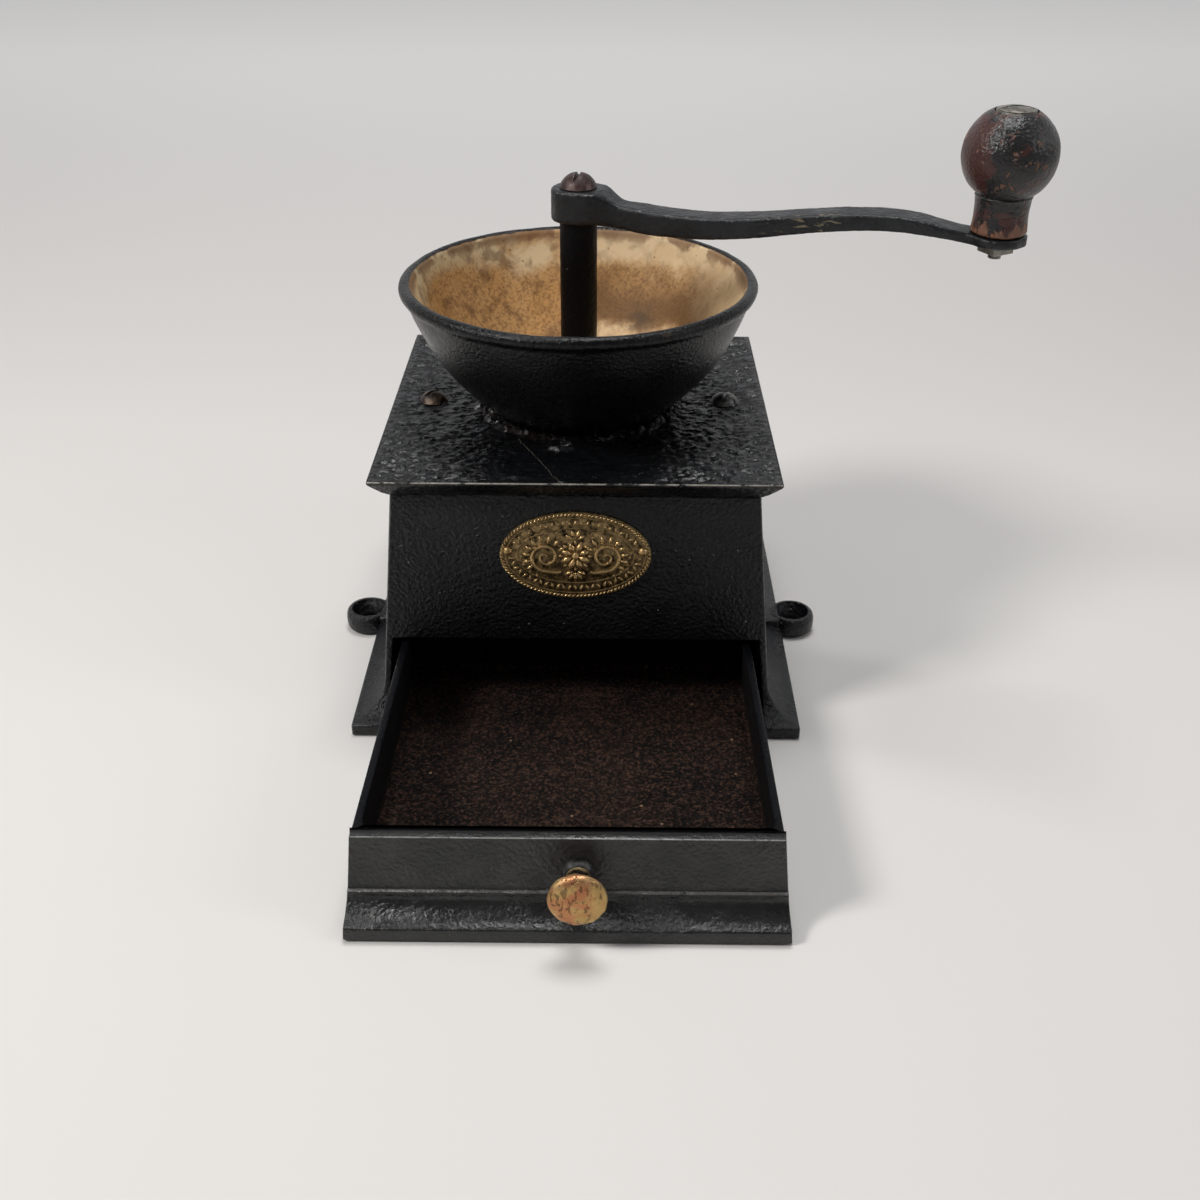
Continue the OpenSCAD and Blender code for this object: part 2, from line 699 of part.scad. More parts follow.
module knob_bolt() color(STEEL) rotate([0, 0, crank_turn]) translate([crank_r, 0, 0]) {
    translate([0, 0, knob_head_z]) dome_head(knob_head_r, knob_head_h, 1.1, 0.7, 20);
    translate([0, 0, knob_bolt_end_z]) cylinder(r = knob_bolt_r, h = knob_head_z - knob_bolt_end_z + eps);
}

module knob_nut() color(STEEL) rotate([0, 0, crank_turn]) translate([crank_r, 0, eye_z - knob_nut_t])
    rotate([0, 0, knob_nut_turn]) nut(4, knob_nut_flats, knob_nut_t, knob_bolt_r + seat_fit);

// ---- drawer ----

function drawer_x(z) = bay_x - drawer_gap + front_spread * (bay_h - z) / (bay_h + 1);
function tray_x(z) = wall_x(z) - box_wall - 0.7;

// Upright outline of the drawer's front, seen from its side: distance outwards, then height
module drawer_front_outline() {
    plinth = base_d / 2 - drawer_plinth_back;
    difference() {
        polygon([[wall_y(drawer_low) - drawer_front_t, drawer_low], [plinth, drawer_low], [plinth, cove_z],
                 [foot_y, cove_z], [wall_y(drawer_h), drawer_h],
                 [wall_y(drawer_h) - drawer_front_t, drawer_h]]);
        translate([foot_y + cove_r, cove_z]) circle(r = cove_r);
    }
    translate([wall_y(bead_z) - bead_r * 0.2, bead_z]) circle(r = bead_r);
}

module drawer() color(RUST) translate([0, -drawer_out, 0]) difference() {
    union() {
        intersection() {
            rotate([90, 0, -90]) linear_extrude(height = base_w, center = true) drawer_front_outline();
            rotate([90, 0, 0]) linear_extrude(height = base_d, center = true)
                polygon([[-drawer_x(drawer_low), drawer_low], [drawer_x(drawer_low), drawer_low],
                         [drawer_x(drawer_h), drawer_h], [-drawer_x(drawer_h), drawer_h]]);
        }
        tray_body();
    }
    translate([pull_off, 0, 0]) on_front(pull_z) translate([0, 0, -20])
        cylinder(r = stud_r + seat_fit, h = 40);
}

// Tray behind the front: floor, two sides and a back, a little narrower at the back
module tray_body() {
    front = -wall_y(drawer_h) + drawer_front_t / 2;
    difference() {
        tray_block(tray_z, drawer_h, 0, front, tray_back);
        tray_block(tray_z + tray_floor_t, drawer_h + 1, tray_wall, front - 4, tray_back - tray_back_t);
    }
}

module tray_block(low, high, inset, front, back) intersection() {
    rotate([90, 0, 0]) linear_extrude(height = far, center = true)
        polygon([[-tray_x(low) + inset, low], [tray_x(low) - inset, low],
                 [tray_x(high) - inset, high], [-tray_x(high) + inset, high]]);
    back_x = tray_x(drawer_h) - tray_taper - inset;
    linear_extrude(height = far)
        polygon([[-tray_x(0) + inset, front], [tray_x(0) - inset, front], [back_x, back], [-back_x, back]]);
}

module drawer_pull() color(BRASS) on_pull() difference() {
    rotate_extrude() {
        translate([0, pull_out])
            polygon([[0, 0], [pull_r - 1.4, 0], [pull_r - 0.4, 0.5], [pull_r, 1.5], [pull_r - 0.5, 2.5],
                     [pull_r - 1.8, 3.1], [pull_r * 0.5, pull_t - 0.2], [0, pull_t]]);
        polygon([[0, stud_collar_h], [3.4, stud_collar_h], [3, stud_collar_h + 2], [3, pull_out - 1.8],
                 [4.4, pull_out + eps], [0, pull_out + eps]]);
    }
    translate([0, 0, 1]) cylinder(r = stud_pin_r + seat_fit, h = pull_out);
}

module pull_stud() color(WORN_IRON) on_pull() {
    stud_in = drawer_front_t + pull_nut_t + 1.5;
    cylinder(r = stud_collar_r, h = stud_collar_h);
    translate([0, 0, -stud_in]) cylinder(r = stud_r, h = stud_in + eps);
    translate([0, 0, stud_collar_h - eps]) cylinder(r = stud_pin_r, h = pull_out - 2.6);
}

module pull_nut() color(WORN_IRON) on_pull()
    translate([0, 0, -drawer_front_t - pull_nut_t]) nut(4, pull_nut_flats, pull_nut_t, stud_r + seat_fit);

// ---- plaque ----

plaque_z = box_h - plaque_drop;
plaque_rim_t = 0.5;
rivet_r = 1.2;
rivet_x = plaque_w / 2 - 2.7;
rivet_up = 1.6;
rivet_head_r = 2.3;
rivet_head_h = 1.3;
rivet_in = box_wall - 0.2;
module oval(w, h) polygon([for (a = [0 : 7.5 : 352.5]) [w / 2 * cos(a), h / 2 * sin(a)]]);

module plaque() color(BRASS) on_front(plaque_z) difference() {
    union() {
        linear_extrude(height = plaque_t) oval(plaque_w, plaque_h);
        for (rim = [[0, 2.4], [8.4, 9.8]]) linear_extrude(height = plaque_t + plaque_rim_t) difference() {
            oval(plaque_w - rim[0], plaque_h - rim[0]);
            oval(plaque_w - rim[1], plaque_h - rim[1]);
        }
    }
    at_rivets() translate([0, 0, -1]) cylinder(r = rivet_r + seat_fit, h = plaque_t + 3);
}

module at_rivets() {
    for (side = [-1, 1]) translate([side * rivet_x, rivet_up, 0]) children();
}

module plaque_rivet_holes() on_front(plaque_z) at_rivets()
    translate([0, 0, -box_wall - 1]) cylinder(r = rivet_r + seat_fit, h = box_wall + 2);

module plaque_rivets() color(BRASS) on_front(plaque_z) at_rivets() {
    translate([0, 0, plaque_t + plaque_rim_t]) dome_head(rivet_head_r, rivet_head_h, 0.01, 0);
    translate([0, 0, -rivet_in]) cylinder(r = rivet_r, h = rivet_in + plaque_t + plaque_rim_t + eps);
}

box_casting();
deck_plate();
deck_screws();
hopper_bowl();
hopper_screws();
burr_shell();
burr_cone();
burr_pin();
spindle();
bearing_bridge();
bridge_screws();
adjusting_screw();
lock_nut();
footstep();
crank_arm();
crank_screw();
crank_knob();
knob_bolt();
knob_washer();
knob_nut();
drawer();
drawer_pull();
pull_stud();
pull_nut();
plaque();
plaque_rivets();
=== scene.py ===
# %% [markdown]
# # A hand crank coffee mill, finished round its CAD frame
# The mill is an iron box with a drawer. A thick iron deck covers it and carries a bowl
# for the beans, and a crank turns the grinding cone under the bowl. The CAD model
# holds the sizes, the fits and the motion. This script gives each piece its look:
# cast skins, enamel, brass, worn wood, lights and a camera.

# %% Load the frame
import math

import bmesh
import bpy
from mathutils import Matrix, Vector, noise


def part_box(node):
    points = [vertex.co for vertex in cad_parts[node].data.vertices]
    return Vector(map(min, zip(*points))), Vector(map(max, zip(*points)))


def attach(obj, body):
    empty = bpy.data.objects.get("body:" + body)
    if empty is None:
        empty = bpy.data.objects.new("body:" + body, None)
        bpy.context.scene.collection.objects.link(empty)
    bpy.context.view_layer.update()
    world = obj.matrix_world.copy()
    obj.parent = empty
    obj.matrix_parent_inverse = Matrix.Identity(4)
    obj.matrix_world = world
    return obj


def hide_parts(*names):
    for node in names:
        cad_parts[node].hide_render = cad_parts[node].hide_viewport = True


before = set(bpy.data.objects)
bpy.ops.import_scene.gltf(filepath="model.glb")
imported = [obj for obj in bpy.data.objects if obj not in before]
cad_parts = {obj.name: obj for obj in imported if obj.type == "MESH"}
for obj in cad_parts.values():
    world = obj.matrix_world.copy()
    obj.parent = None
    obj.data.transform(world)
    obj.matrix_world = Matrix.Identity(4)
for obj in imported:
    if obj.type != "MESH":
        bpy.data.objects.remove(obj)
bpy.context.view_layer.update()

MM = 0.001

# %% [markdown]
# ## The camera
# The mill is seen from the front, from a little above eye level of the bowl. The camera
# comes first, because every judgement about size and finish is made through it.
# A frame of 1200 by 1200 pixels with a focal length of 1362.5 pixels is a lens of
# about 41 mm on the usual 36 mm sensor.

# %% Camera
FRAME_PX = 1200
FOCAL_PX = 1362.5
CAMERA_AT = Vector((0.010571, -0.441013, 0.276968))
CAMERA_PITCH = 0.547
CAMERA_YAW = 0.007
CAMERA_ROLL = 0.004


def add_camera():
    data = bpy.data.cameras.new("camera")
    camera = bpy.data.objects.new("camera", data)
    bpy.context.scene.collection.objects.link(camera)
    data.sensor_width = 36
    data.lens = FOCAL_PX * data.sensor_width / FRAME_PX
    data.clip_start, data.clip_end = 0.01, 20
    tilt = Matrix.Rotation(math.pi / 2 - CAMERA_PITCH, 4, "X")
    yaw = Matrix.Rotation(CAMERA_YAW, 4, "Z")
    roll = Matrix.Rotation(CAMERA_ROLL, 4, "Z")
    camera.matrix_world = Matrix.Translation(CAMERA_AT) @ yaw @ tilt @ roll
    bpy.context.scene.camera = camera
    return camera


print("lens:", round(add_camera().data.lens, 3))

# %% [markdown]
# ## Helpers for modelling
# All pieces are modelled as by hand: a primitive is added, then shaped in edit mode.
# An operator acts on everything that is selected, so each helper starts by taking
# hold of one piece and letting go of the rest.

# %% Taking hold of a piece
def take(piece=None):
    """Selects piece alone, and makes it the active one."""
    if bpy.context.object and bpy.context.object.mode != "OBJECT":
        bpy.ops.object.mode_set(mode="OBJECT")
    bpy.ops.object.select_all(action="DESELECT")
    if piece:
        piece.select_set(True)
        bpy.context.view_layer.objects.active = piece


def edit_points():
    """Enters edit mode on points, with every point of the active piece selected."""
    bpy.ops.object.mode_set(mode="EDIT")
    bpy.ops.mesh.select_mode(type="VERT")
    bpy.ops.mesh.select_all(action="SELECT")


def pick_faces(piece, test):
    """Enters edit mode with only the faces selected whose centre and normal pass test."""
    take(piece)
    bpy.ops.object.mode_set(mode="EDIT")
    bpy.ops.mesh.select_mode(type="FACE")
    bpy.ops.mesh.select_all(action="DESELECT")
    mesh = bmesh.from_edit_mesh(piece.data)
    for face in mesh.faces:
        face.select_set(bool(test(face.calc_center_median(), face.normal)))
    bmesh.update_edit_mesh(piece.data)


def pick_edges(piece, test):
    """Enters edit mode with only the edges selected whose two ends pass test."""
    take(piece)
    bpy.ops.object.mode_set(mode="EDIT")
    bpy.ops.mesh.select_mode(type="EDGE")
    bpy.ops.mesh.select_all(action="DESELECT")
    mesh = bmesh.from_edit_mesh(piece.data)
    for edge in mesh.edges:
        edge.select_set(bool(test(edge.verts[0].co, edge.verts[1].co)))
    bmesh.update_edit_mesh(piece.data)


def close_up(piece):
    """Merges doubled points and turns every face outwards."""
    take(piece)
    edit_points()
    bpy.ops.mesh.remove_doubles(threshold=0.002 * MM)
    bpy.ops.mesh.normals_make_consistent(inside=False)
    bpy.ops.object.mode_set(mode="OBJECT")
    return piece


# %% [markdown]
# ## Two ways to start a piece
# Most castings here are a square that changes as it rises, so `grow` starts from a
# plane and extrudes it ring by ring. Most other pieces came off a lathe, so `turn`
# starts from one point, extrudes it along half an outline, and spins that about Z.

# %% Grow and turn
def grow(name, rings):
    """A block from a plane. Each ring is (middle x, middle y, z, half width, half depth)."""
    take()
    bpy.ops.mesh.primitive_plane_add(size=2, location=(0, 0, 0))
    piece = bpy.context.object
    piece.name = name
    edit_points()
    x, y, z, wide, deep = rings[0]
    bpy.ops.transform.resize(value=(wide, deep, 1), center_override=(0, 0, 0))
    bpy.ops.transform.translate(value=(x, y, z))
    for ring in rings[1:]:
        move = (ring[0] - x, ring[1] - y, ring[2] - z)
        bpy.ops.mesh.extrude_region_move(TRANSFORM_OT_translate={"value": move})
        bpy.ops.transform.resize(value=(ring[3] / wide, ring[4] / deep, 1),
                                 center_override=ring[:3])
        x, y, z, wide, deep = ring
    return close_up(piece)


def turn(name, outline, steps=96):
    """A turned piece. The outline is a list of (radius, height)."""
    take()
    bpy.ops.mesh.primitive_plane_add(size=1 * MM, location=(0, 0, 0))
    piece = bpy.context.object
    piece.name = name
    edit_points()
    bpy.ops.mesh.merge(type="CENTER")
    r, z = outline[0]
    bpy.ops.transform.translate(value=(r, 0, z))
    for next_r, next_z in outline[1:]:
        move = (next_r - r, 0, next_z - z)
        bpy.ops.mesh.extrude_vertices_move(TRANSFORM_OT_translate={"value": move})
        r, z = next_r, next_z
    bpy.ops.mesh.select_all(action="SELECT")
    bpy.ops.mesh.spin(steps=steps, angle=2 * math.pi, center=(0, 0, 0), axis=(0, 0, 1))
    return close_up(piece)


def arc(centre, radius, start, end, steps):
    """Points along an arc, in degrees, both ends included."""
    turns = [math.radians(start + (end - start) * i / steps) for i in range(steps + 1)]
    return [(centre[0] + radius * math.cos(a), centre[1] + radius * math.sin(a)) for a in turns]


# %% [markdown]
# ## Helpers that finish a shape
# Cuts and joints are Boolean modifiers, and no real edge is sharp, so a Bevel modifier
# rounds what is left. Cast iron is never quite flat either: `rough_cast` moves each
# point a little along its normal by a soft noise, which catches the light as a real skin does.

# %% Cut, join, soften and roughen
def apply_modifier(piece, kind, **settings):
    take(piece)
    modifier = piece.modifiers.new(kind.lower(), kind)
    for key, value in settings.items():
        setattr(modifier, key, value)
    bpy.ops.object.modifier_apply(modifier=modifier.name)


def combine(piece, other, operation):
    """Cuts other out of piece, or joins it on, and removes other."""
    apply_modifier(piece, "BOOLEAN", object=other, operation=operation, solver="EXACT")
    bpy.data.objects.remove(other)


def soften(piece, width, segments=2, angle=35):
    apply_modifier(piece, "BEVEL", width=width, segments=segments, limit_method="ANGLE",
                   angle_limit=math.radians(angle), use_clamp_overlap=False, harden_normals=False)


def join(pieces, name):
    """Makes one mesh of several loose pieces."""
    take(pieces[0])
    for other in pieces[1:]:
        other.select_set(True)
    if len(pieces) > 1:
        bpy.ops.object.join()
    pieces[0].name = name
    return pieces[0]


def put(piece, matrix):
    """Moves a piece to its place and bakes the place into its mesh."""
    piece.matrix_world = matrix @ piece.matrix_world
    take(piece)
    bpy.ops.object.transform_apply(location=True, rotation=True, scale=True)
    return piece


def rough_cast(piece, depth, pitch, where=None):
    """Moves each point along its normal by up to about depth, in lumps pitch apart."""
    moved = []
    for point in piece.data.vertices:
        lump = noise.fractal(point.co / pitch, 0.9, 2.1, 3)
        share = where(point.co) if where else 1
        moved.append(point.co + point.normal * (depth * share * lump))
    for point, place in zip(piece.data.vertices, moved):
        point.co = place


def smooth(piece, angle=35):
    take(piece)
    bpy.ops.object.shade_smooth_by_angle(angle=math.radians(angle))


def finish(piece, body, slot, material, *nodes, angle=35):
    """Last steps of every piece: smooth shading, finish, body and the nodes it replaces; slot is
    not used.
    """
    smooth(piece, angle)
    if material:
        piece.data.materials.clear()
        piece.data.materials.append(material)
    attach(piece, body)
    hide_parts(*nodes)
    print(f"{piece.name}: {len(piece.data.polygons)} faces on {body}")
    return piece


# %% [markdown]
# ## Helpers for materials
# Each finish is a node tree. Two small functions keep the trees readable: `add` puts in
# a node with its settings, and links any input that is given as another node's socket.

# %% Node helpers
def add(tree, kind, inputs=None, **settings):
    """Adds a node. An input is a value, or a socket to link from."""
    made = tree.nodes.new(kind)
    for key, value in settings.items():
        setattr(made, key, value)
    for key, value in (inputs or {}).items():
        if isinstance(value, bpy.types.NodeSocket):
            tree.links.new(value, made.inputs[key])
        else:
            made.inputs[key].default_value = value
    return made


def blend(tree, factor, first, second):
    """Mixes two colours by a factor."""
    made = add(tree, "ShaderNodeMix", {0: factor, 6: first, 7: second}, data_type="RGBA")
    return made.outputs[2]


def maths(tree, operation, first, second=0.0, clamp=False):
    made = add(tree, "ShaderNodeMath", {0: first, 1: second}, operation=operation, use_clamp=clamp)
    return made.outputs[0]


def vectors(tree, operation, first, second=(0, 0, 0)):
    """Works on places and directions. A length, distance or product comes out as a number."""
    key = "Scale" if operation == "SCALE" else 1
    made = add(tree, "ShaderNodeVectorMath", {0: first, key: second}, operation=operation)
    number = operation in ("LENGTH", "DISTANCE", "DOT_PRODUCT")
    return made.outputs["Value" if number else "Vector"]


def mapped(tree, at, **settings):
    """Coordinates that are moved, turned or stretched first."""
    return add(tree, "ShaderNodeMapping", {"Vector": at, **settings}).outputs[0]


def times(tree, first, second):
    return maths(tree, "MULTIPLY", first, second)


def cover(tree, under, colour, mask, share):
    """Lays a colour over what is under it, by a share of the mask."""
    return blend(tree, times(tree, mask, share), under, colour)


def split(tree, at):
    """X, Y and Z of a place."""
    return add(tree, "ShaderNodeSeparateXYZ", {0: at}).outputs


def ramp(tree, value, low, high, to_low=0.0, to_high=1.0):
    """A smooth step from to_low to to_high as value goes from low to high."""
    inputs = {"Value": value, "From Min": low, "From Max": high,
              "To Min": to_low, "To Max": to_high}
    return add(tree, "ShaderNodeMapRange", inputs, interpolation_type="SMOOTHSTEP").outputs[0]


def clouds(tree, at, scale, detail=3.0, rough=0.55, distortion=0.0):
    inputs = {"Vector": at, "Scale": scale, "Detail": detail, "Roughness": rough,
              "Distortion": distortion}
    return add(tree, "ShaderNodeTexNoise", inputs).outputs["Fac"]


def uneven(tree, at, scale, low, high):
    """A value that drifts between low and high, as gloss does over an old surface."""
    return ramp(tree, clouds(tree, at, scale, 4.0, 0.6), 0.35, 0.65, low, high)


# %% [markdown]
# ## Effects that several finishes share
# Cast grain, worn edges, specks and blotches turn up on almost every piece of the mill,
# so each is a node group with named sockets. A group gives only masks and heights,
# and the shader stays in the material itself.

# %% Shared node groups
def new_group(name, inputs, output):
    """A node group whose sockets are all plain numbers, apart from Vector."""
    group = bpy.data.node_groups.new(name, "ShaderNodeTree")
    for socket, value in inputs.items():
        kind = "NodeSocketVector" if socket == "Vector" else "NodeSocketFloat"
        made = group.interface.new_socket(name=socket, in_out="INPUT", socket_type=kind)
        if socket != "Vector":
            made.default_value = value
    group.interface.new_socket(name=output, in_out="OUTPUT", socket_type="NodeSocketFloat")
    given = group.nodes.new("NodeGroupInput").outputs
    result = group.nodes.new("NodeGroupOutput").inputs
    return group, given, result


def grain_group():
    """Orange-peel skin of painted cast iron: soft lumps with finer sand between them."""
    group, given, result = new_group("cast_grain", {"Vector": 0, "Scale": 500.0, "Sand": 0.35},
                                     "Height")
    cells = add(group, "ShaderNodeTexVoronoi", {"Vector": given["Vector"], "Scale": given["Scale"]},
                feature="SMOOTH_F1")
    fine = times(group, given["Scale"], 2.6)
    sand = clouds(group, given["Vector"], fine, 4.0, 0.6)
    soft = clouds(group, given["Vector"], given["Scale"], 2.0, 0.5)
    lumps = maths(group, "ADD", times(group, cells.outputs["Distance"], -0.6), soft)
    group.links.new(maths(group, "ADD", lumps, times(group, sand, given["Sand"])), result[0])
    return group


def wear_group():
    """Where an edge has lost its finish: sharp edges first, broken up by noise."""
    group, given, result = new_group("edge_wear", {"Vector": 0, "Scale": 300.0, "Start": 0.53,
                                                   "End": 0.6}, "Mask")
    edge = group.nodes.new("ShaderNodeNewGeometry").outputs["Pointiness"]
    broken = maths(group, "MULTIPLY_ADD", clouds(group, given["Vector"], given["Scale"], 4.0, 0.65),
                   0.16)
    broken.node.inputs[2].default_value = -0.08
    group.links.new(ramp(group, maths(group, "ADD", edge, broken), given["Start"], given["End"]),
                    result[0])
    return group


def speck_group():
    """Small round specks: Size is a speck's share of its cell, Share is how many cells have one."""
    group, given, result = new_group("specks", {"Vector": 0, "Scale": 300.0, "Size": 0.16,
                                                "Share": 0.3}, "Mask")
    cells = add(group, "ShaderNodeTexVoronoi", {"Vector": given["Vector"], "Scale": given["Scale"]})
    chance = add(group, "ShaderNodeSeparateColor", {0: cells.outputs["Color"]}).outputs[0]
    size = times(group, given["Size"], maths(group, "LESS_THAN", chance, given["Share"]))
    group.links.new(maths(group, "LESS_THAN", cells.outputs["Distance"], size), result[0])
    return group


def blotch_group():
    """Irregular patches with a soft edge."""
    group, given, result = new_group("blotches", {"Vector": 0, "Scale": 60.0, "Level": 0.5,
                                                  "Softness": 0.06}, "Mask")
    patch = clouds(group, given["Vector"], given["Scale"], 5.0, 0.6, 0.4)
    low = maths(group, "SUBTRACT", given["Level"], given["Softness"])
    high = maths(group, "ADD", given["Level"], given["Softness"])
    group.links.new(ramp(group, patch, low, high), result[0])
    return group


GRAIN, WEAR, SPECKS, BLOTCHES = grain_group(), wear_group(), speck_group(), blotch_group()


def use(tree, group, **inputs):
    """Places a shared effect in a material and gives its result."""
    made = add(tree, "ShaderNodeGroup", node_tree=group)
    for key, value in inputs.items():
        if isinstance(value, bpy.types.NodeSocket):
            tree.links.new(value, made.inputs[key])
        else:
            made.inputs[key].default_value = value
    return made.outputs[0]


def edge_wear(tree, at, scale, start, end):
    return use(tree, WEAR, Vector=at, Scale=scale, Start=start, End=end)


def blotches(tree, at, scale, level, softness):
    return use(tree, BLOTCHES, Vector=at, Scale=scale, Level=level, Softness=softness)


def cast_grain(tree, at, scale, sand):
    return use(tree, GRAIN, Vector=at, Scale=scale, Sand=sand)


def new_finish(name, **constants):
    """An empty material. Gives the material, its tree, its Principled shader and coordinates."""
    material = bpy.data.materials.new(name)
    material.use_nodes = True
    tree = material.node_tree
    shader = tree.nodes["Principled BSDF"]
    for key, value in constants.items():
        shader.inputs[key.replace("_", " ")].default_value = value
    at = add(tree, "ShaderNodeTexCoord").outputs["Object"]
    return material, tree, shader, at


def drive(tree, shader, **sockets):
    for key, socket in sockets.items():
        tree.links.new(socket, shader.inputs[key.replace("_", " ")])


def bump(tree, height, depth, strength=1.0, normal=None):
    inputs = {"Height": height, "Distance": depth, "Strength": strength}
    if normal:
        inputs["Normal"] = normal
    return add(tree, "ShaderNodeBump", inputs).outputs[0]


print("effects:", [group.name for group in (GRAIN, WEAR, SPECKS, BLOTCHES)])

# %% [markdown]
# ## Japanned iron: the box
# The box was painted black and stoved, which gives a dark satin skin that follows every
# grain of the casting. Edges have rubbed to grey, and dust and lime have left pale specks.
# A near-black colour with a broken roughness shows the grain by its highlights alone.

# %% Black iron finishes
BLACK = (0.002, 0.0022, 0.003, 1)
GREY_WEAR_AND_HIGHLIGHT = (0.13, 0.125, 0.118, 1)
PALE_DUST = (0.34, 0.33, 0.31, 1)


def black_iron(name, scale, depth, roughness=0.42, wear=0.56, specks=0.08, coarse=0.35,
               shine=0.4, marks=None):
    """Painted cast iron. Scale is in lumps per metre, depth in metres; marks may add colour."""
    material, tree, shader, at = new_finish(name, Specular_IOR_Level=shine)
    grain = cast_grain(tree, at, scale, coarse)
    worn = edge_wear(tree, at, 260.0, wear, wear + 0.06)
    patch = blotches(tree, at, 38.0, 0.52, 0.12)
    dust = use(tree, SPECKS, Vector=at, Scale=520.0, Size=0.13, Share=specks)
    tone = blend(tree, patch, BLACK, tuple(c * 2 for c in BLACK[:3]) + (1,))
    tone = cover(tree, tone, GREY_WEAR_AND_HIGHLIGHT, worn, 0.6)
    tone = cover(tree, tone, PALE_DUST, dust, 0.5)
    if marks:
        tone = marks(tree, at, tone)
    gloss = uneven(tree, at, 55.0, roughness - 0.07, roughness + 0.08)
    drive(tree, shader, Base_Color=tone, Roughness=gloss, Normal=bump(tree, grain, depth))
    return material


works_iron = black_iron("works_iron", 500.0, 0.00015, 0.5, 0.54, 0.03)
print("finish:", works_iron.name)

# %% [markdown]
# ## The box casting
# One casting holds the mill together: a plinth, a hollow moulding and four walls that lean
# in by five degrees. It could be carved from a cube, but a square that is extruded and
# scaled gives clean mitres at the corners. The inside is the same square, smaller,
# and the drawer's opening is cut last.

# %% Sizes of the box
box_low, box_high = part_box("box_casting")
deck_low, deck_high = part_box("deck_plate")
drawer_low, drawer_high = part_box("drawer")
base = -box_low.y
box_top = box_high.z
plinth_t = 4.4 * MM
cove_r = 11 * MM
cove_z = plinth_t + cove_r
foot = base - 10.6 * MM
top_half = foot - 5.9 * MM
wall_t = 3.2 * MM
lean = (foot - top_half) / (box_top - cove_z)
bay_top = drawer_high.z + 1.8 * MM
bay_half = foot - (bay_top - cove_z) * lean - 2.5 * MM
bay_spread = 3 * MM
print("base", base, "top", top_half, "bay", bay_half, bay_top)


def wall(z):
    """Distance of the outside of a wall from the middle of the box, at height z."""
    return foot - (z - cove_z) * lean


def cove_points(edge, steps=9):
    """The hollow moulding as (distance from the middle, height), from the plinth's edge up."""
    centre = foot + cove_r
    first = math.degrees(math.acos((centre - edge) / cove_r)) - 90
    turns = [math.radians(-first + (90 + first) * i / steps) for i in range(steps + 1)]
    return [(centre - cove_r * math.sin(a), cove_z - cove_r * math.cos(a)) for a in turns]


# %% Box shell
def box_shell():
    outside = [(base, 0)] + cove_points(base) + [(top_half, box_top)]
    shell = grow("box_casting_iron", [(0, 0, z, half, half) for half, z in outside])
    inner_top, inner_low = wall(box_top) - wall_t, wall(0) - wall_t
    pick_faces(shell, lambda centre, normal: centre.z > box_top - MM)
    bpy.ops.mesh.inset(thickness=wall_t)
    bpy.ops.mesh.extrude_region_move(TRANSFORM_OT_translate={"value": (0, 0, -box_top)})
    scale = inner_low / inner_top
    bpy.ops.transform.resize(value=(scale, scale, 1), center_override=(0, 0, 0))
    bpy.ops.mesh.delete(type="FACE")
    pick_faces(shell, lambda centre, normal: centre.z < 0.01 * MM)
    bpy.ops.mesh.inset(thickness=base - inner_low)
    bpy.ops.mesh.delete(type="FACE")
    close_up(shell)
    opening = [(0, -base, -1 * MM, bay_half + bay_spread, base - wall(bay_top) + wall_t + 1 * MM),
               (0, -base, bay_top, bay_half, base - wall(bay_top) + wall_t + 1 * MM)]
    combine(shell, grow("opening", opening), "DIFFERENCE")
    soften(shell, 0.7 * MM, 3)
    return shell


# %% [markdown]
# The eyes are cast rings on the sides of the plinth. Each is a turned ring on a short neck,
# and both are joined to the shell. Inside stand the runners for the drawer and the two
# bosses that take the deck's screws.

# %% Eyes, runners and bosses
eye_r, eye_hole_r, eye_h = 8.5 * MM, 4.2 * MM, 7.6 * MM
eye_mouth = 1.6 * MM
eye_x = box_high.x - eye_r
eye_y = -5 * MM
deck_screw_x = top_half - 8 * MM


def screw_eye(side):
    """A ring with a rounded section, and the neck that joins it to the plinth."""
    middle = (eye_r + eye_hole_r) / 2
    half = (eye_r - eye_hole_r) / 2
    section = [(middle + half * math.copysign(abs(math.cos(a)) ** 0.7, math.cos(a)),
                eye_h / 2 + eye_h / 2 * math.copysign(abs(math.sin(a)) ** 0.75, math.sin(a)))
               for a in [math.radians(i * 22.5) for i in range(17)]]
    section = [(min(middle, r + eye_mouth * abs(2 * z / eye_h - 1)) if r < middle else r, z)
               for r, z in section]
    ring = put(turn("eye", section, 48), Matrix.Translation((side * eye_x, eye_y, 0)))
    inner, outer = foot - 2 * MM, eye_x - middle * 0.75
    across, half_long = side * (inner + outer) / 2, (outer - inner) / 2
    neck = grow("neck", [(across, eye_y, 0, half_long, eye_r * 0.85),
                         (across, eye_y, eye_h - 0.3 * MM, half_long, eye_r * 0.8)])
    soften(neck, 0.9 * MM, 3)
    return ring, neck


def box_casting():
    shell = box_shell()
    for side in (-1, 1):
        for part in screw_eye(side):
            combine(shell, part, "UNION")
        take()
        bpy.ops.mesh.primitive_cylinder_add(radius=5.4 * MM, depth=20 * MM,
                                            location=(side * deck_screw_x, 0, box_top - 10.01 * MM))
        combine(shell, bpy.context.object, "UNION")
        inner = wall(0) - wall_t
        front, back = -wall(bay_top) + wall_t + 1.2 * MM, inner + 1 * MM
        runner = grow("runner", [(side * (inner - 2.5 * MM), (front + back) / 2, z, 3.5 * MM,
                                  (back - front) / 2) for z in (0.01 * MM, 2 * MM)])
        combine(shell, runner, "UNION")
    return finish(shell, "root", "japanned_iron", japanned, "box_casting")


CORNER_GREY = (0.21, 0.205, 0.195, 1)


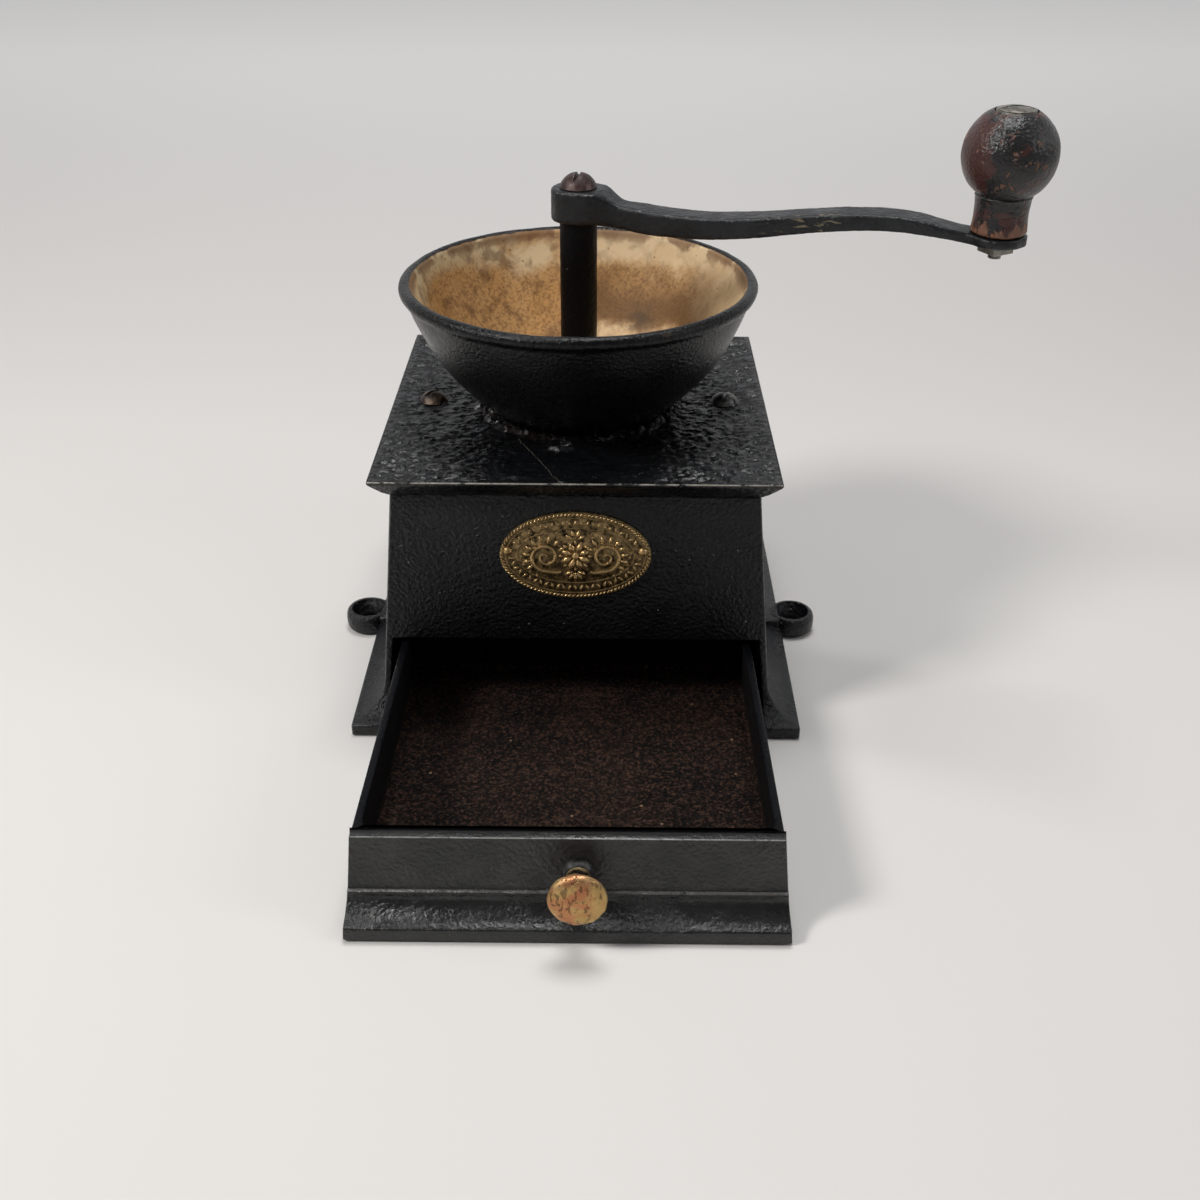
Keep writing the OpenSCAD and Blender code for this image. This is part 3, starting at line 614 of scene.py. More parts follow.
def corner_lines(tree, at, tone):
    """Thin lines down the four corners of the walls, partly rubbed paint and partly painted
    highlight.
    """
    place = split(tree, at)
    stands = maths(tree, "SUBTRACT", foot + cove_z * lean, times(tree, place[2], lean))
    inwards = [maths(tree, "SUBTRACT", stands, maths(tree, "ABSOLUTE", place[i])) for i in (0, 1)]
    line = ramp(tree, maths(tree, "MAXIMUM", *inwards), 0.2 * MM, 0.42 * MM, 1.0, 0.0)
    kept = blotches(tree, at, 150.0, 0.42, 0.1)
    above = ramp(tree, place[2], cove_z - MM, cove_z + MM)
    line = times(tree, times(tree, line, kept), above)
    # Partly painted highlight: the corner lines are rubbed paint and also a highlight along each
    # corner.
    return cover(tree, tone, CORNER_GREY, line, 0.7)


japanned = black_iron("japanned_iron", 860.0, 0.0005, 0.25, 0.58, 0.05, 0.45, 0.4, corner_lines)
box_casting()

# %% [markdown]
# ## The deck
# The deck is a thick plate with a slanted underside. Years of damp have raised its paint
# into ripples, and where the bowl's foot sits it has rusted into a rough brown ring. The
# ripples are real relief: the top is cut into a fine grid, and each point is raised by noise.
# A hairline crack runs from the bowl to the front edge.

# %% Deck shape
deck_z = deck_high.z
deck_half = deck_high.x
deck_t = deck_z - deck_low.z
throat_r = 16.5 * MM
BUMP_AT = Vector((-5 * MM, -38.3 * MM, 0))
FOOT_R = 30.4 * MM


def hill(distance, width):
    return math.exp(-(distance / width) ** 2)


def deck_relief(at):
    """Height of the deck's skin over the plain plate."""
    r = Vector((at.x, at.y, 0)).length
    ripple = Vector((at.x / (4.2 * MM), at.y / (1.9 * MM), 0))
    sides = 0.5 + 0.5 * min(1, abs(at.x) / (38 * MM))
    lumps = 0.67 * sides * noise.fractal(ripple, 0.8, 2.1, 3)
    lumps += 0.2 * noise.fractal(at / (1.5 * MM) + Vector((7, 3, 5)), 0.8, 2.2, 2)
    crust = hill(r - FOOT_R - 2.2 * MM, 3.2 * MM)
    lumps += crust * (0.6 + 1.3 * noise.fractal(at / (2.2 * MM) + Vector((1, 9, 4)), 0.7, 2.2, 3))
    away = Vector(((at.x - BUMP_AT.x) / (4.6 * MM), (at.y - BUMP_AT.y) / (4.2 * MM), 0)).length
    lumps += 1.5 * hill(away - 0.75, 0.33) + 0.6 * hill(away, 0.8) * math.sin(at.y / (0.55 * MM))
    edge = min(deck_half - abs(at.x), deck_half - abs(at.y))
    nick = 0.9 * hill(math.dist((at.x, at.y), (-4.3 * MM, -deck_half)), 1.3 * MM)
    return (lumps * min(1, max(0, edge / (3 * MM))) - nick) * MM


def deck_plate():
    profile = [(top_half + 0.4 * MM, deck_low.z),
               (top_half + 2.52 * MM, deck_low.z + 0.27 * deck_t),
               (deck_half, deck_low.z + 0.83 * deck_t), (deck_half, deck_z)]
    deck = grow("deck_plate_iron", [(0, 0, z, half, half) for half, z in profile])
    soften(deck, 0.55 * MM, 3, 20)
    pick_faces(deck, lambda centre, normal: normal.z > 0.999 and centre.z > deck_z - 0.01 * MM)
    bpy.ops.mesh.subdivide(number_cuts=99)
    bpy.ops.mesh.subdivide(number_cuts=1)
    bpy.ops.object.mode_set(mode="OBJECT")
    for point in deck.data.vertices:
        if point.co.z > deck_z - 0.001 * MM:
            point.co.z += deck_relief(point.co)
    throat = turn("throat", [(0, deck_low.z - MM), (throat_r, deck_low.z - MM),
                             (throat_r, deck_z + 4 * MM), (0, deck_z + 4 * MM)])
    combine(deck, throat, "DIFFERENCE")
    hollow = top_half - wall_t - 2 * MM
    under = grow("under", [(0, 0, z, hollow, hollow)
                           for z in (deck_low.z - MM, deck_low.z + 2.5 * MM)])
    combine(deck, under, "DIFFERENCE")
    return deck


# %% [markdown]
# The deck's finish adds three marks to the black paint: the rust round the bowl's foot, the
# pale crack, and the thin bright line along the front edge, which is partly rubbed bare iron and
# partly a painted highlight. The crack is drawn by the distance to two short straight stretches.

# %% Deck finish
CRACK = [(-19.4, -32.8), (-13.2, -44.9), (-4.5, -64.8)]
RUST_BROWN = (0.020, 0.0125, 0.0112, 1)
CRACK_TAN = (0.15, 0.115, 0.08, 1)


def stretch_group():
    """Distance from a straight stretch between two points of the XY plane."""
    group, given, result = new_group("stretch", {"Vector": 0, "X": 0.0, "Y": 0.0, "Along X": 0.0,
                                                 "Along Y": 0.0}, "Distance")
    start = add(group, "ShaderNodeCombineXYZ", {0: given["X"], 1: given["Y"]}).outputs[0]
    run = add(group, "ShaderNodeCombineXYZ", {0: given["Along X"], 1: given["Along Y"]}).outputs[0]
    flat = vectors(group, "MULTIPLY", given["Vector"], (1, 1, 0))
    gone = vectors(group, "SUBTRACT", flat, start)
    along = vectors(group, "DOT_PRODUCT", gone, run)
    whole = vectors(group, "DOT_PRODUCT", run, run)
    share = maths(group, "DIVIDE", along, whole, clamp=True)
    nearest = vectors(group, "SCALE", run, share)
    group.links.new(vectors(group, "DISTANCE", gone, nearest), result[0])
    return group


def crack_mask(tree, at, width):
    stretch = stretch_group()
    waver = add(tree, "ShaderNodeTexNoise", {"Vector": at, "Scale": 260.0,
                                             "Detail": 2.0}).outputs["Color"]
    shift = vectors(tree, "ADD", waver, (-0.5, -0.5, -0.5))
    moved = vectors(tree, "ADD", at, vectors(tree, "SCALE", shift, 1.6 * MM))
    nearest = None
    for (x0, y0), (x1, y1) in zip(CRACK, CRACK[1:]):
        values = {"X": x0 * MM, "Y": y0 * MM, "Along X": (x1 - x0) * MM, "Along Y": (y1 - y0) * MM}
        away = use(tree, stretch, Vector=moved, **values)
        nearest = away if nearest is None else maths(tree, "MINIMUM", nearest, away)
    return ramp(tree, nearest, 0.0, width, 1.0, 0.0)


DECK_BLACK = (0.0022, 0.0024, 0.003, 1)
DECK_GREY = (0.0048, 0.0052, 0.0062, 1)
EDGE_BRIGHT = (0.40, 0.37, 0.32, 1)


def deck_iron():
    material, tree, shader, at = new_finish("deck_iron", Specular_IOR_Level=0.5)
    place = split(tree, at)
    radius = vectors(tree, "LENGTH", vectors(tree, "MULTIPLY", at, (1, 1, 0)))
    from_foot = maths(tree, "ABSOLUTE", maths(tree, "SUBTRACT", radius, FOOT_R + 1.5 * MM))
    ring = ramp(tree, from_foot, 1.2 * MM, 5.5 * MM, 1.0, 0.0)
    rust = times(tree, ring, blotches(tree, at, 170.0, 0.48, 0.09))
    patch = blotches(tree, at, 45.0, 0.52, 0.12)
    top = ramp(tree, place[2], deck_z - 0.62 * MM, deck_z - 0.3 * MM)
    front = ramp(tree, place[1], -deck_half + 0.1 * MM, -deck_half + 0.36 * MM, 1.0, 0.0)
    line = times(tree, times(tree, top, front), blotches(tree, at, 210.0, 0.44, 0.08))
    crack = times(tree, crack_mask(tree, at, 0.24 * MM), top)
    tone = blend(tree, patch, DECK_BLACK, DECK_GREY)
    tone = cover(tree, tone, RUST_BROWN, rust, 0.7)
    # Partly painted highlight: the bright front edge line is rubbed iron and also a painted
    # highlight.
    tone = cover(tree, tone, EDGE_BRIGHT, line, 0.85)
    tone = cover(tree, tone, CRACK_TAN, crack, 0.6)
    gloss = uneven(tree, at, 90.0, 0.23, 0.34)
    gloss = maths(tree, "ADD", gloss, times(tree, rust, 0.12))
    grain = cast_grain(tree, at, 700.0, 0.4)
    normal = bump(tree, grain, 0.0003)
    normal = bump(tree, times(tree, crack, -1.0), 0.0003, 1.0, normal)
    drive(tree, shader, Base_Color=tone, Roughness=gloss, Normal=normal)
    return material


finish(deck_plate(), "root", "japanned_iron", deck_iron(), "deck_plate")

# %% [markdown]
# ## The bowl
# The bowl is turned about the spindle: a foot, a swelling side, a rolled rim and a second
# skin inside. The outside is black and rough like the box. The inside is cream enamel that
# a century of coffee has stained. An attribute on the points says which skin is which, so
# one finish can cover both and let the black creep over the rim unevenly.

# %% Bowl shape
bowl_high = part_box("hopper_bowl")[1]
rim_r, rim_z = bowl_high.x, bowl_high.z
side_r = 76.6 * MM
bowl_wall = 3 * MM
floor_z = deck_z + 4 * MM
low_r, high_r = FOOT_R - 1.6 * MM, rim_r - 0.8 * MM
bowl_h = rim_z - deck_z
chord = math.hypot(high_r - low_r, bowl_h)
leg = math.sqrt(side_r ** 2 - chord ** 2 / 4)
side_centre = ((low_r + high_r) / 2 - leg * bowl_h / chord,
               (deck_z + rim_z) / 2 + leg * (high_r - low_r) / chord)


def inner_wall(z):
    return side_centre[0] + math.sqrt((side_r - bowl_wall) ** 2 - (side_centre[1] - z) ** 2)


roll_r = (rim_r - inner_wall(rim_z - 1.85 * MM)) / 2
roll_at = (rim_r - roll_r, rim_z - roll_r)


def angle_on_side(radius, z):
    """Angle on the side's arc at height z, in degrees."""
    return math.degrees(math.asin((z - side_centre[1]) / radius))


def bowl_outline():
    foot_edge = [(throat_r, deck_z), (FOOT_R, deck_z), (FOOT_R + 0.2 * MM, deck_z + 0.8 * MM)]
    outer = arc(side_centre, side_r, angle_on_side(side_r, deck_z + 1.8 * MM),
                angle_on_side(side_r, roll_at[1] - 2.1 * MM), 34)
    roll = arc(roll_at, roll_r, -48, 168, 14)
    inside = side_r - bowl_wall
    inner = arc(side_centre, inside, angle_on_side(inside, roll_at[1] - 0.6 * MM),
                angle_on_side(inside, floor_z + 1.2 * MM), 34)
    last = inner[-1][0]
    well = [(last - 1.6 * MM, floor_z + 0.3 * MM), (last - 3 * MM, floor_z),
            (throat_r + 0.6 * MM, floor_z), (throat_r, floor_z - 0.6 * MM), (throat_r, deck_z)]
    return foot_edge + outer + roll + inner + well


def bowl_skin(at):
    """1 on the enamelled inside, 0 on the black outside."""
    r = math.hypot(at.x, at.y)
    if at.z > roll_at[1]:
        around = math.degrees(math.atan2(at.z - roll_at[1], r - roll_at[0]))
        return min(1, max(0, (around - 112) / 40))
    mid = side_centre[0] + math.sqrt((side_r - bowl_wall / 2) ** 2 - (side_centre[1] - at.z) ** 2)
    return 1.0 if r < mid and at.z > deck_z + 2 * MM else 0.0


def hopper_bowl():
    bowl = turn("hopper_bowl_iron", bowl_outline(), 192)
    skin = bowl.data.attributes.new("inside", "FLOAT", "POINT")
    for point in bowl.data.vertices:
        skin.data[point.index].value = bowl_skin(point.co)
    rough_cast(bowl, 0.035 * MM, 2.4 * MM, lambda at: 0.5 + 0.5 * (1 - bowl_skin(at)))
    rough_cast(bowl, 0.5 * MM, 28 * MM, lambda at: 0.6 if at.z > deck_z + 3 * MM else 0)
    return bowl


# %% [markdown]
# The enamel starts as cream. Stain builds up towards the bottom, where ground coffee and
# damp stay longest, with specks of brown and a few greyer patches high on the left. Low on the
# right, painted shade darkens the enamel further to brown.

# %% Bowl finish
CREAM = (0.73, 0.555, 0.34, 1)
GREY_CREAM = (0.63, 0.50, 0.30, 1)
TAN = (0.47, 0.245, 0.078, 1)
DEEP_BROWN = (0.105, 0.046, 0.018, 1)
STAIN_AT = (21.4 * MM, 36.6 * MM, deck_z + 17 * MM)
SHADE_BROWN = (0.115, 0.055, 0.018, 1)
STAIN_BROWN = (0.085, 0.05, 0.024, 1)
RIM_BROWN = (0.15, 0.068, 0.028, 1)


def enamel_colour(tree, at):
    place = split(tree, at)
    drift = times(tree, clouds(tree, at, 34.0, 4.0, 0.6), 26 * MM)
    level = maths(tree, "ADD", place[2], drift)
    stain = ramp(tree, level, deck_z + 44 * MM, deck_z + 52 * MM, 1.0, 0.0)
    right = maths(tree, "ADD", place[0], times(tree, drift, 0.8))
    clean = ramp(tree, right, 42 * MM, 56 * MM, 0.0, 0.8)
    low_right = times(tree, ramp(tree, level, deck_z + 26 * MM, deck_z + 31 * MM, 1.0, 0.0),
                      ramp(tree, place[0], 0.0, 8 * MM))
    clean = maths(tree, "MAXIMUM", clean, times(tree, low_right, 0.8))
    stain = times(tree, stain, maths(tree, "SUBTRACT", 1.0, clean))
    upper = blotches(tree, at, 62.0, 0.53, 0.07)
    left = ramp(tree, place[0], -50 * MM, -10 * MM, 1.0, 0.0)
    tone = blend(tree, left, CREAM, GREY_CREAM)
    tone = cover(tree, tone, TAN, upper, ramp(tree, place[0], -20 * MM, 30 * MM, 0.6, 0.2))
    tone = cover(tree, tone, TAN, stain, 0.88)
    veins = blotches(tree, at, 150.0, 0.56, 0.09)
    vein_share = ramp(tree, place[0], -30 * MM, 20 * MM, 0.58, 0.26)
    tone = cover(tree, tone, DEEP_BROWN, veins, vein_share)
    mottle = blotches(tree, at, 900.0, 0.54, 0.1)
    tone = cover(tree, tone, DEEP_BROWN, times(tree, mottle, stain), 0.55)
    dots = use(tree, SPECKS, Vector=at, Scale=420.0, Size=0.17, Share=0.13)
    tone = cover(tree, tone, DEEP_BROWN, dots, 0.6)
    # Painted shade: low on the right side the enamel is darkened to a brown shade.
    lower = ramp(tree, level, deck_z + 36 * MM, deck_z + 50 * MM, 1.0, 0.0)
    deep = times(tree, ramp(tree, right, 0.0, 16 * MM), lower)
    deep = times(tree, deep, ramp(tree, right, 44 * MM, 58 * MM, 0.82, 0.35))
    deep = times(tree, deep, maths(tree, "SUBTRACT", 1.0, low_right))
    tone = blend(tree, deep, tone, SHADE_BROWN)
    from_spot = maths(tree, "ADD", vectors(tree, "DISTANCE", at, STAIN_AT),
                      times(tree, drift, 0.6))
    spot = ramp(tree, from_spot, 9 * MM, 19 * MM, 0.85, 0.0)
    spot = times(tree, spot, ramp(tree, clouds(tree, at, 150.0, 4.0, 0.6), 0.42, 0.56, 0.3, 1.0))
    tone = blend(tree, spot, tone, STAIN_BROWN)
    high = ramp(tree, place[2], rim_z - 7 * MM, rim_z - 1.2 * MM)
    rim_level = maths(tree, "ADD", clouds(tree, at, 80.0, 5.0, 0.6), times(tree, high, 0.2))
    rim_stain = ramp(tree, rim_level, 0.55, 0.66)
    return cover(tree, tone, RIM_BROWN, times(tree, rim_stain, high), 0.75)


BOWL_BLACK = (0.0012, 0.0013, 0.0018, 1)
BOWL_GREY = (0.0026, 0.0027, 0.0034, 1)
CHIP_RUST = (0.09, 0.05, 0.03, 1)
EDGE_RUST = (0.06, 0.03, 0.018, 1)


def bowl_finish():
    material, tree, shader, at = new_finish("bowl_enamelled_iron", Specular_IOR_Level=0.28)
    skin = add(tree, "ShaderNodeAttribute", attribute_name="inside").outputs["Fac"]
    ragged = times(tree, clouds(tree, at, 220.0, 4.0, 0.6), 0.7)
    inside = ramp(tree, maths(tree, "ADD", skin, ragged), 0.78, 0.92)
    chips = blotches(tree, at, 260.0, 0.66, 0.02)
    rim = ramp(tree, split(tree, at)[2], rim_z - 2.5 * MM, rim_z - 0.4 * MM)
    worn = edge_wear(tree, at, 240.0, 0.54, 0.62)
    black = blend(tree, blotches(tree, at, 40.0, 0.5, 0.12), BOWL_BLACK, BOWL_GREY)
    black = cover(tree, black, CHIP_RUST, times(tree, rim, chips), 0.4)
    # Partly painted highlight: the rubbed grey on the rim is wear and also stands in for the rim's
    # glints.
    black = cover(tree, black, GREY_WEAR_AND_HIGHLIGHT, times(tree, worn, rim), 0.5)
    edge = times(tree, ramp(tree, maths(tree, "ADD", skin, ragged), 0.55, 0.8), 0.8)
    black = blend(tree, edge, black, EDGE_RUST)
    tone = blend(tree, inside, black, enamel_colour(tree, at))
    outer_gloss = uneven(tree, at, 70.0, 0.22, 0.33)
    gloss = add(tree, "ShaderNodeMix", {0: inside, 2: outer_gloss, 3: 0.66}).outputs[0]
    grain = cast_grain(tree, at, 980.0, 0.4)
    depth = ramp(tree, inside, 0.0, 1.0, 1.0, 0.08)
    normal = bump(tree, times(tree, grain, depth), 0.00026)
    drive(tree, shader, Base_Color=tone, Roughness=gloss, Normal=normal)
    return material


finish(hopper_bowl(), "root", "bowl_enamelled_iron", bowl_finish(), "hopper_bowl", angle=60)

# %% [markdown]
# ## The crank
# The arm was forged: a round-ended hub with two flats, a bar that dips and rises, and a
# flat eye for the knob. A bar with rounded corners is drawn station by station along the
# arm's own curve, and a cylinder with two flats makes the hub. A voxel remesh then melts
# the two together, as a hammer and a file would, and leaves no hard line between them.

# %% Curve of the arm
CRANK_TURN = math.radians(-17)
crank_r = 131 * MM
arm_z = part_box("crank_arm")[0].z
hub_half, hub_r = 8 * MM, 8.9 * MM
hub_z, hub_top = arm_z + 1.6 * MM, arm_z + 11.8 * MM
wave_low, wave_high, eye_flat = crank_r * 0.26, crank_r * 0.786, crank_r * 0.97
wave_h, eye_drop, eye_t, arm_h, arm_w = 8.1 * MM, 2.1 * MM, 3 * MM, 6.4 * MM, 9.6 * MM
eye_z = arm_z + wave_h - eye_drop
eye_end_r = 8.6 * MM
crank_frame = Matrix.Rotation(CRANK_TURN, 4, "Z")
knob_frame = crank_frame @ Matrix.Translation((crank_r, 0, 0))


def ease(s, start, end):
    """From 0 to 1 in half a cosine wave."""
    return (1 - math.cos(math.pi * min(1, max(0, (s - start) / (end - start))))) / 2


def near_hub(s):
    """From 0 at the bottom of the arm's first dip to 1 at the hub."""
    return (max(0, wave_low - s) / (wave_low - hub_half)) ** 2


def arm_under(s):
    if s < wave_low:
        return arm_z + 1.45 * MM * near_hub(s)
    if s < wave_high:
        return arm_z + wave_h * ease(s, wave_low, wave_high)
    return eye_z + eye_drop * (1 - ease(s, wave_high, eye_flat))


def arm_top(s):
    """The bar keeps its height as far as the first dip, and thins from there to the eye."""
    thick = arm_h
    if s >= wave_low:
        thick = eye_t + (arm_h - eye_t) * max(0, eye_flat - s) / (eye_flat - wave_low)
    plain = arm_under(s) + thick + 1.5 * MM * near_hub(s)
    return plain + (hub_top - plain) * (1 - ease(s, 6.8 * MM, 14.8 * MM))


def arm_half_width(s):
    if s < 12.9 * MM:
        return hub_half - (hub_half - arm_w / 2) * ease(s, 4.8 * MM, 12.9 * MM)
    flare = arm_w / 2 + (eye_end_r - 0.8 * MM - arm_w / 2) * ease(s, crank_r - 8 * MM, crank_r)
    past = abs(s - crank_r)
    disc = math.sqrt(max(0, eye_end_r ** 2 - past ** 2)) if past < eye_end_r else 0
    return max(disc, flare if s < crank_r else 0.6 * MM)


# %% Arm shape
BAR_CORNER = 0.22
ROUNDING_LOSS = 0.42 * MM


def arm_bar():
    """A rounded section, extruded station by station from the hub to the eye."""
    end = crank_r + eye_end_r
    stations = [3 * MM + (end - 3.2 * MM) * i / 64 for i in range(65)]
    stations = [s for s in stations if s < end - 0.1 * MM] + [end - 0.05 * MM]
    take()
    bpy.ops.mesh.primitive_circle_add(vertices=24, radius=1, fill_type="NGON",
                                      rotation=(0, math.pi / 2, 0))
    bar = bpy.context.object
    bpy.ops.object.transform_apply(location=True, rotation=True, scale=True)
    for point in bar.data.vertices:
        point.co.y = math.copysign(abs(point.co.y) ** BAR_CORNER, point.co.y)
        point.co.z = math.copysign(abs(point.co.z) ** BAR_CORNER, point.co.z)
    edit_points()
    last = (0, 0, 1, 1)
    for i, s in enumerate(stations):
        low = max(arm_under(s), hub_z) if s < hub_half else arm_under(s)
        near_eye = ease(s, crank_r - 24 * MM, crank_r - 12 * MM)
        fuller = ROUNDING_LOSS * ease(s, 14 * MM, 22 * MM) * (1 - near_eye)
        middle = (low + arm_top(s)) / 2
        half, wide = (arm_top(s) - low) / 2 + fuller, arm_half_width(s) + fuller
        if i:
            move = (s - last[0], 0, middle - last[1])
            bpy.ops.mesh.extrude_region_move(TRANSFORM_OT_translate={"value": move})
        else:
            bpy.ops.transform.translate(value=(s, 0, middle))
        bpy.ops.transform.resize(value=(1, wide / last[2], half / last[3]),
                                 center_override=(s, 0, middle))
        last = (s, middle, wide, half)
    return close_up(bar)


def crank_arm():
    take()
    bpy.ops.mesh.primitive_cylinder_add(vertices=20, radius=hub_r, depth=hub_top - hub_z,
                                        location=(0, 0, (hub_top + hub_z) / 2))
    hub = bpy.context.object
    bpy.ops.object.transform_apply(location=True, rotation=True, scale=True)
    for point in hub.data.vertices:
        point.co.y = min(hub_half, max(-hub_half, point.co.y))
    soften(hub, 0.8 * MM, 2, 12)
    arm = join([hub, arm_bar()], "crank_arm_iron")
    apply_modifier(arm, "REMESH", mode="VOXEL", voxel_size=0.5 * MM)
    apply_modifier(arm, "SMOOTH", factor=0.5, iterations=2)
    hole = turn("hole", [(0, eye_z - MM), (2.1 * MM, eye_z - MM), (2.1 * MM, eye_z + 5 * MM),
                         (0, eye_z + 5 * MM)], 32)
    combine(arm, put(hole, Matrix.Translation((crank_r, 0, 0))), "DIFFERENCE")
    rough_cast(arm, 0.12 * MM, 8 * MM)
    rough_cast(arm, 0.05 * MM, 1.6 * MM)
    return put(arm, crank_frame)


# %% [markdown]
# The iron of the crank was never enamelled. Hands have kept it a dark satin grey that is
# lighter along its edges, with small pits from its forging.

# %% Crank finish
SCRATCH_S = 74 * MM
CRANK_DARK = (0.005, 0.0055, 0.007, 1)
CRANK_LIGHT = (0.0115, 0.0125, 0.0145, 1)
CRANK_WEAR = (0.07, 0.07, 0.07, 1)
SCRATCH_TAN = (0.26, 0.21, 0.13, 1)


def crank_iron():
    material, tree, shader, at = new_finish("crank_iron", Specular_IOR_Level=0.42)
    worn = edge_wear(tree, at, 180.0, 0.515, 0.58)
    patch = blotches(tree, at, 70.0, 0.5, 0.12)
    pits = use(tree, SPECKS, Vector=at, Scale=420.0, Size=0.24, Share=0.12)
    tone = blend(tree, patch, CRANK_DARK, CRANK_LIGHT)
    tone = cover(tree, tone, CRANK_WEAR, worn, 0.3)
    along = mapped(tree, at, Rotation=(0, 0, -CRANK_TURN))
    place = split(tree, along)
    drawn = mapped(tree, along, Scale=(0.22, 1.0, 1.0))
    from_middle = maths(tree, "ABSOLUTE", maths(tree, "SUBTRACT", place[0], SCRATCH_S))
    here = times(tree, ramp(tree, from_middle, 8 * MM, 15 * MM, 1.0, 0.0),
                 ramp(tree, place[1], -3 * MM, -3.8 * MM))
    scratch = times(tree, here, blotches(tree, drawn, 700.0, 0.6, 0.03))
    tone = cover(tree, tone, SCRATCH_TAN, scratch, 0.6)
    gloss = uneven(tree, at, 120.0, 0.32, 0.46)
    lumps = maths(tree, "SUBTRACT", cast_grain(tree, at, 700.0, 0.3), pits)
    drive(tree, shader, Base_Color=tone, Roughness=gloss, Normal=bump(tree, lumps, 0.00025))
    return material


crank_finish = crank_iron()
finish(crank_arm(), "crank", "crank_iron", crank_finish, "crank_arm", angle=50)

# %% [markdown]
# ## The spindle
# The spindle is a round bar with a square on each end, for the cone below and the crank
# above, and a thin journal that stands in the footstep. It is turned, and the squares
# are joined on.

# %% Spindle
def spindle():
    low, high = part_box("spindle")
    cone_low, cone_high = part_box("burr_cone")
    round_r, square_half, journal_r = 6.1 * MM, 4.2 * MM, 4 * MM
    lengths = [cone_high.z + (hub_z - cone_high.z) * i / 40 for i in range(41)]
    outline = [(0, low.z), (journal_r, low.z), (journal_r, cone_low.z),
               (journal_r, cone_high.z - MM), (round_r - 0.4 * MM, cone_high.z)]
    outline += [(round_r, z) for z in lengths[1:]] + [(0, hub_z)]
    shaft = turn("spindle_iron", outline, 64)
    rough_cast(shaft, 0.09 * MM, 4 * MM, lambda at: 1 if at.z > floor_z else 0)
    for z0, z1, turned in ((cone_low.z, cone_high.z, 0), (hub_z - MM, high.z, CRANK_TURN)):
        block = grow("square", [(0, 0, z, square_half, square_half) for z in (z0, z1)])
        combine(shaft, put(block, Matrix.Rotation(turned, 4, "Z")), "UNION")
    return shaft


spindle_finish = black_iron("spindle_iron", 620.0, 0.0003, 0.4, 0.62, 0.05, 0.3, 0.12)
finish(spindle(), "crank", "crank_iron", spindle_finish, "spindle")

# %% [markdown]
# ## Screws
# Every screw here has a domed head with a slot. The head is turned with a rounded edge,
# the slot is cut by a long block, and the shank goes down into its thread. Old heads
# brown unevenly, and the tops of the domes are rubbed.

# %% Slotted screws
def slotted_screw(name, head_r, head_h, slot_w, slot_d, slot_turn, shank_r, shank_h):
    """A screw whose head stands on Z = 0, with its shank below."""
    ball = (head_r ** 2 + head_h ** 2) / (2 * head_h)
    start = math.degrees(math.asin((ball - head_h + 0.5 * MM) / ball))
    dome = arc((0, head_h - ball), ball, start, 90, 10)
    outline = [(0, -shank_h), (shank_r, -shank_h), (shank_r, 0), (head_r - 0.3 * MM, 0),
               (head_r, 0.25 * MM)] + dome
    screw = turn(name, outline, 48)
    block = grow("slot", [(0, 0, z, 2 * head_r, slot_w / 2)
                          for z in (head_h - slot_d, head_h + MM)])
    combine(screw, put(block, Matrix.Rotation(math.radians(slot_turn), 4, "Z")), "DIFFERENCE")
    soften(screw, 0.12 * MM, 2, 50)
    rough_cast(screw, 0.08 * MM, 1.6 * MM)
    return screw


def screw_metal(name, dark, light, rub, roughness=0.42, metallic=0.55):
    """Old steel or bronze: a dark skin, a warmer patch, and a rubbed crown."""
    material, tree, shader, at = new_finish(name, Metallic=metallic)
    patch = blotches(tree, at, 230.0, 0.5, 0.1)
    worn = edge_wear(tree, at, 420.0, 0.53, 0.62)
    fine = blotches(tree, at, 900.0, 0.56, 0.06)
    tone = blend(tree, patch, dark, light)
    tone = cover(tree, tone, tuple(c * 0.4 for c in dark[:3]) + (1,), fine, 0.5)
    tone = cover(tree, tone, rub, worn, 0.7)
    gloss = ramp(tree, clouds(tree, at, 500.0, 3.0, 0.6), 0.35, 0.65,
                 roughness - 0.1, roughness + 0.12)
    drive(tree, shader, Base_Color=tone, Roughness=gloss,
          Normal=bump(tree, clouds(tree, at, 1300.0, 3.0, 0.6), 0.00012))
    return material


purple_steel = screw_metal("crank_screw_steel", (0.045, 0.028, 0.026, 1), (0.085, 0.052, 0.047, 1),
                           (0.22, 0.17, 0.155, 1))
coppery = screw_metal("deck_screw_copper", (0.03, 0.022, 0.019, 1), (0.12, 0.078, 0.056, 1),
                      (0.55, 0.43, 0.34, 1), 0.34)
grey_screw = screw_metal("deck_screw_grey", (0.03, 0.03, 0.032, 1), (0.22, 0.21, 0.195, 1),
                         (0.8, 0.75, 0.68, 1), 0.28)


def crank_screw():
    low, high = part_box("crank_screw")
    screw = slotted_screw("crank_screw_steel", 6.1 * MM, high.z - hub_top, 1.5 * MM, 1.7 * MM, 80,
                          2.4 * MM, hub_top - low.z)
    return put(screw, Matrix.Translation((0, 0, hub_top)))


def deck_screws():
    low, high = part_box("deck_screws")
    made = []
    for side, slot_turn, metal in ((-1, 35, coppery), (1, 80, grey_screw)):
        screw = slotted_screw("deck_screw", 5.05 * MM, high.z - deck_z, 1.3 * MM, 1.3 * MM,
                              slot_turn, 2.4 * MM, deck_z - low.z)
        screw.data.materials.append(metal)
        made.append(put(screw, Matrix.Translation((side * deck_screw_x, 0, deck_z))))
    return join(made, "deck_screws_steel")


finish(crank_screw(), "crank", "brown_screw_steel", purple_steel, "crank_screw", angle=40)
finish(deck_screws(), "root", "brown_screw_steel", None, "deck_screws", angle=40)

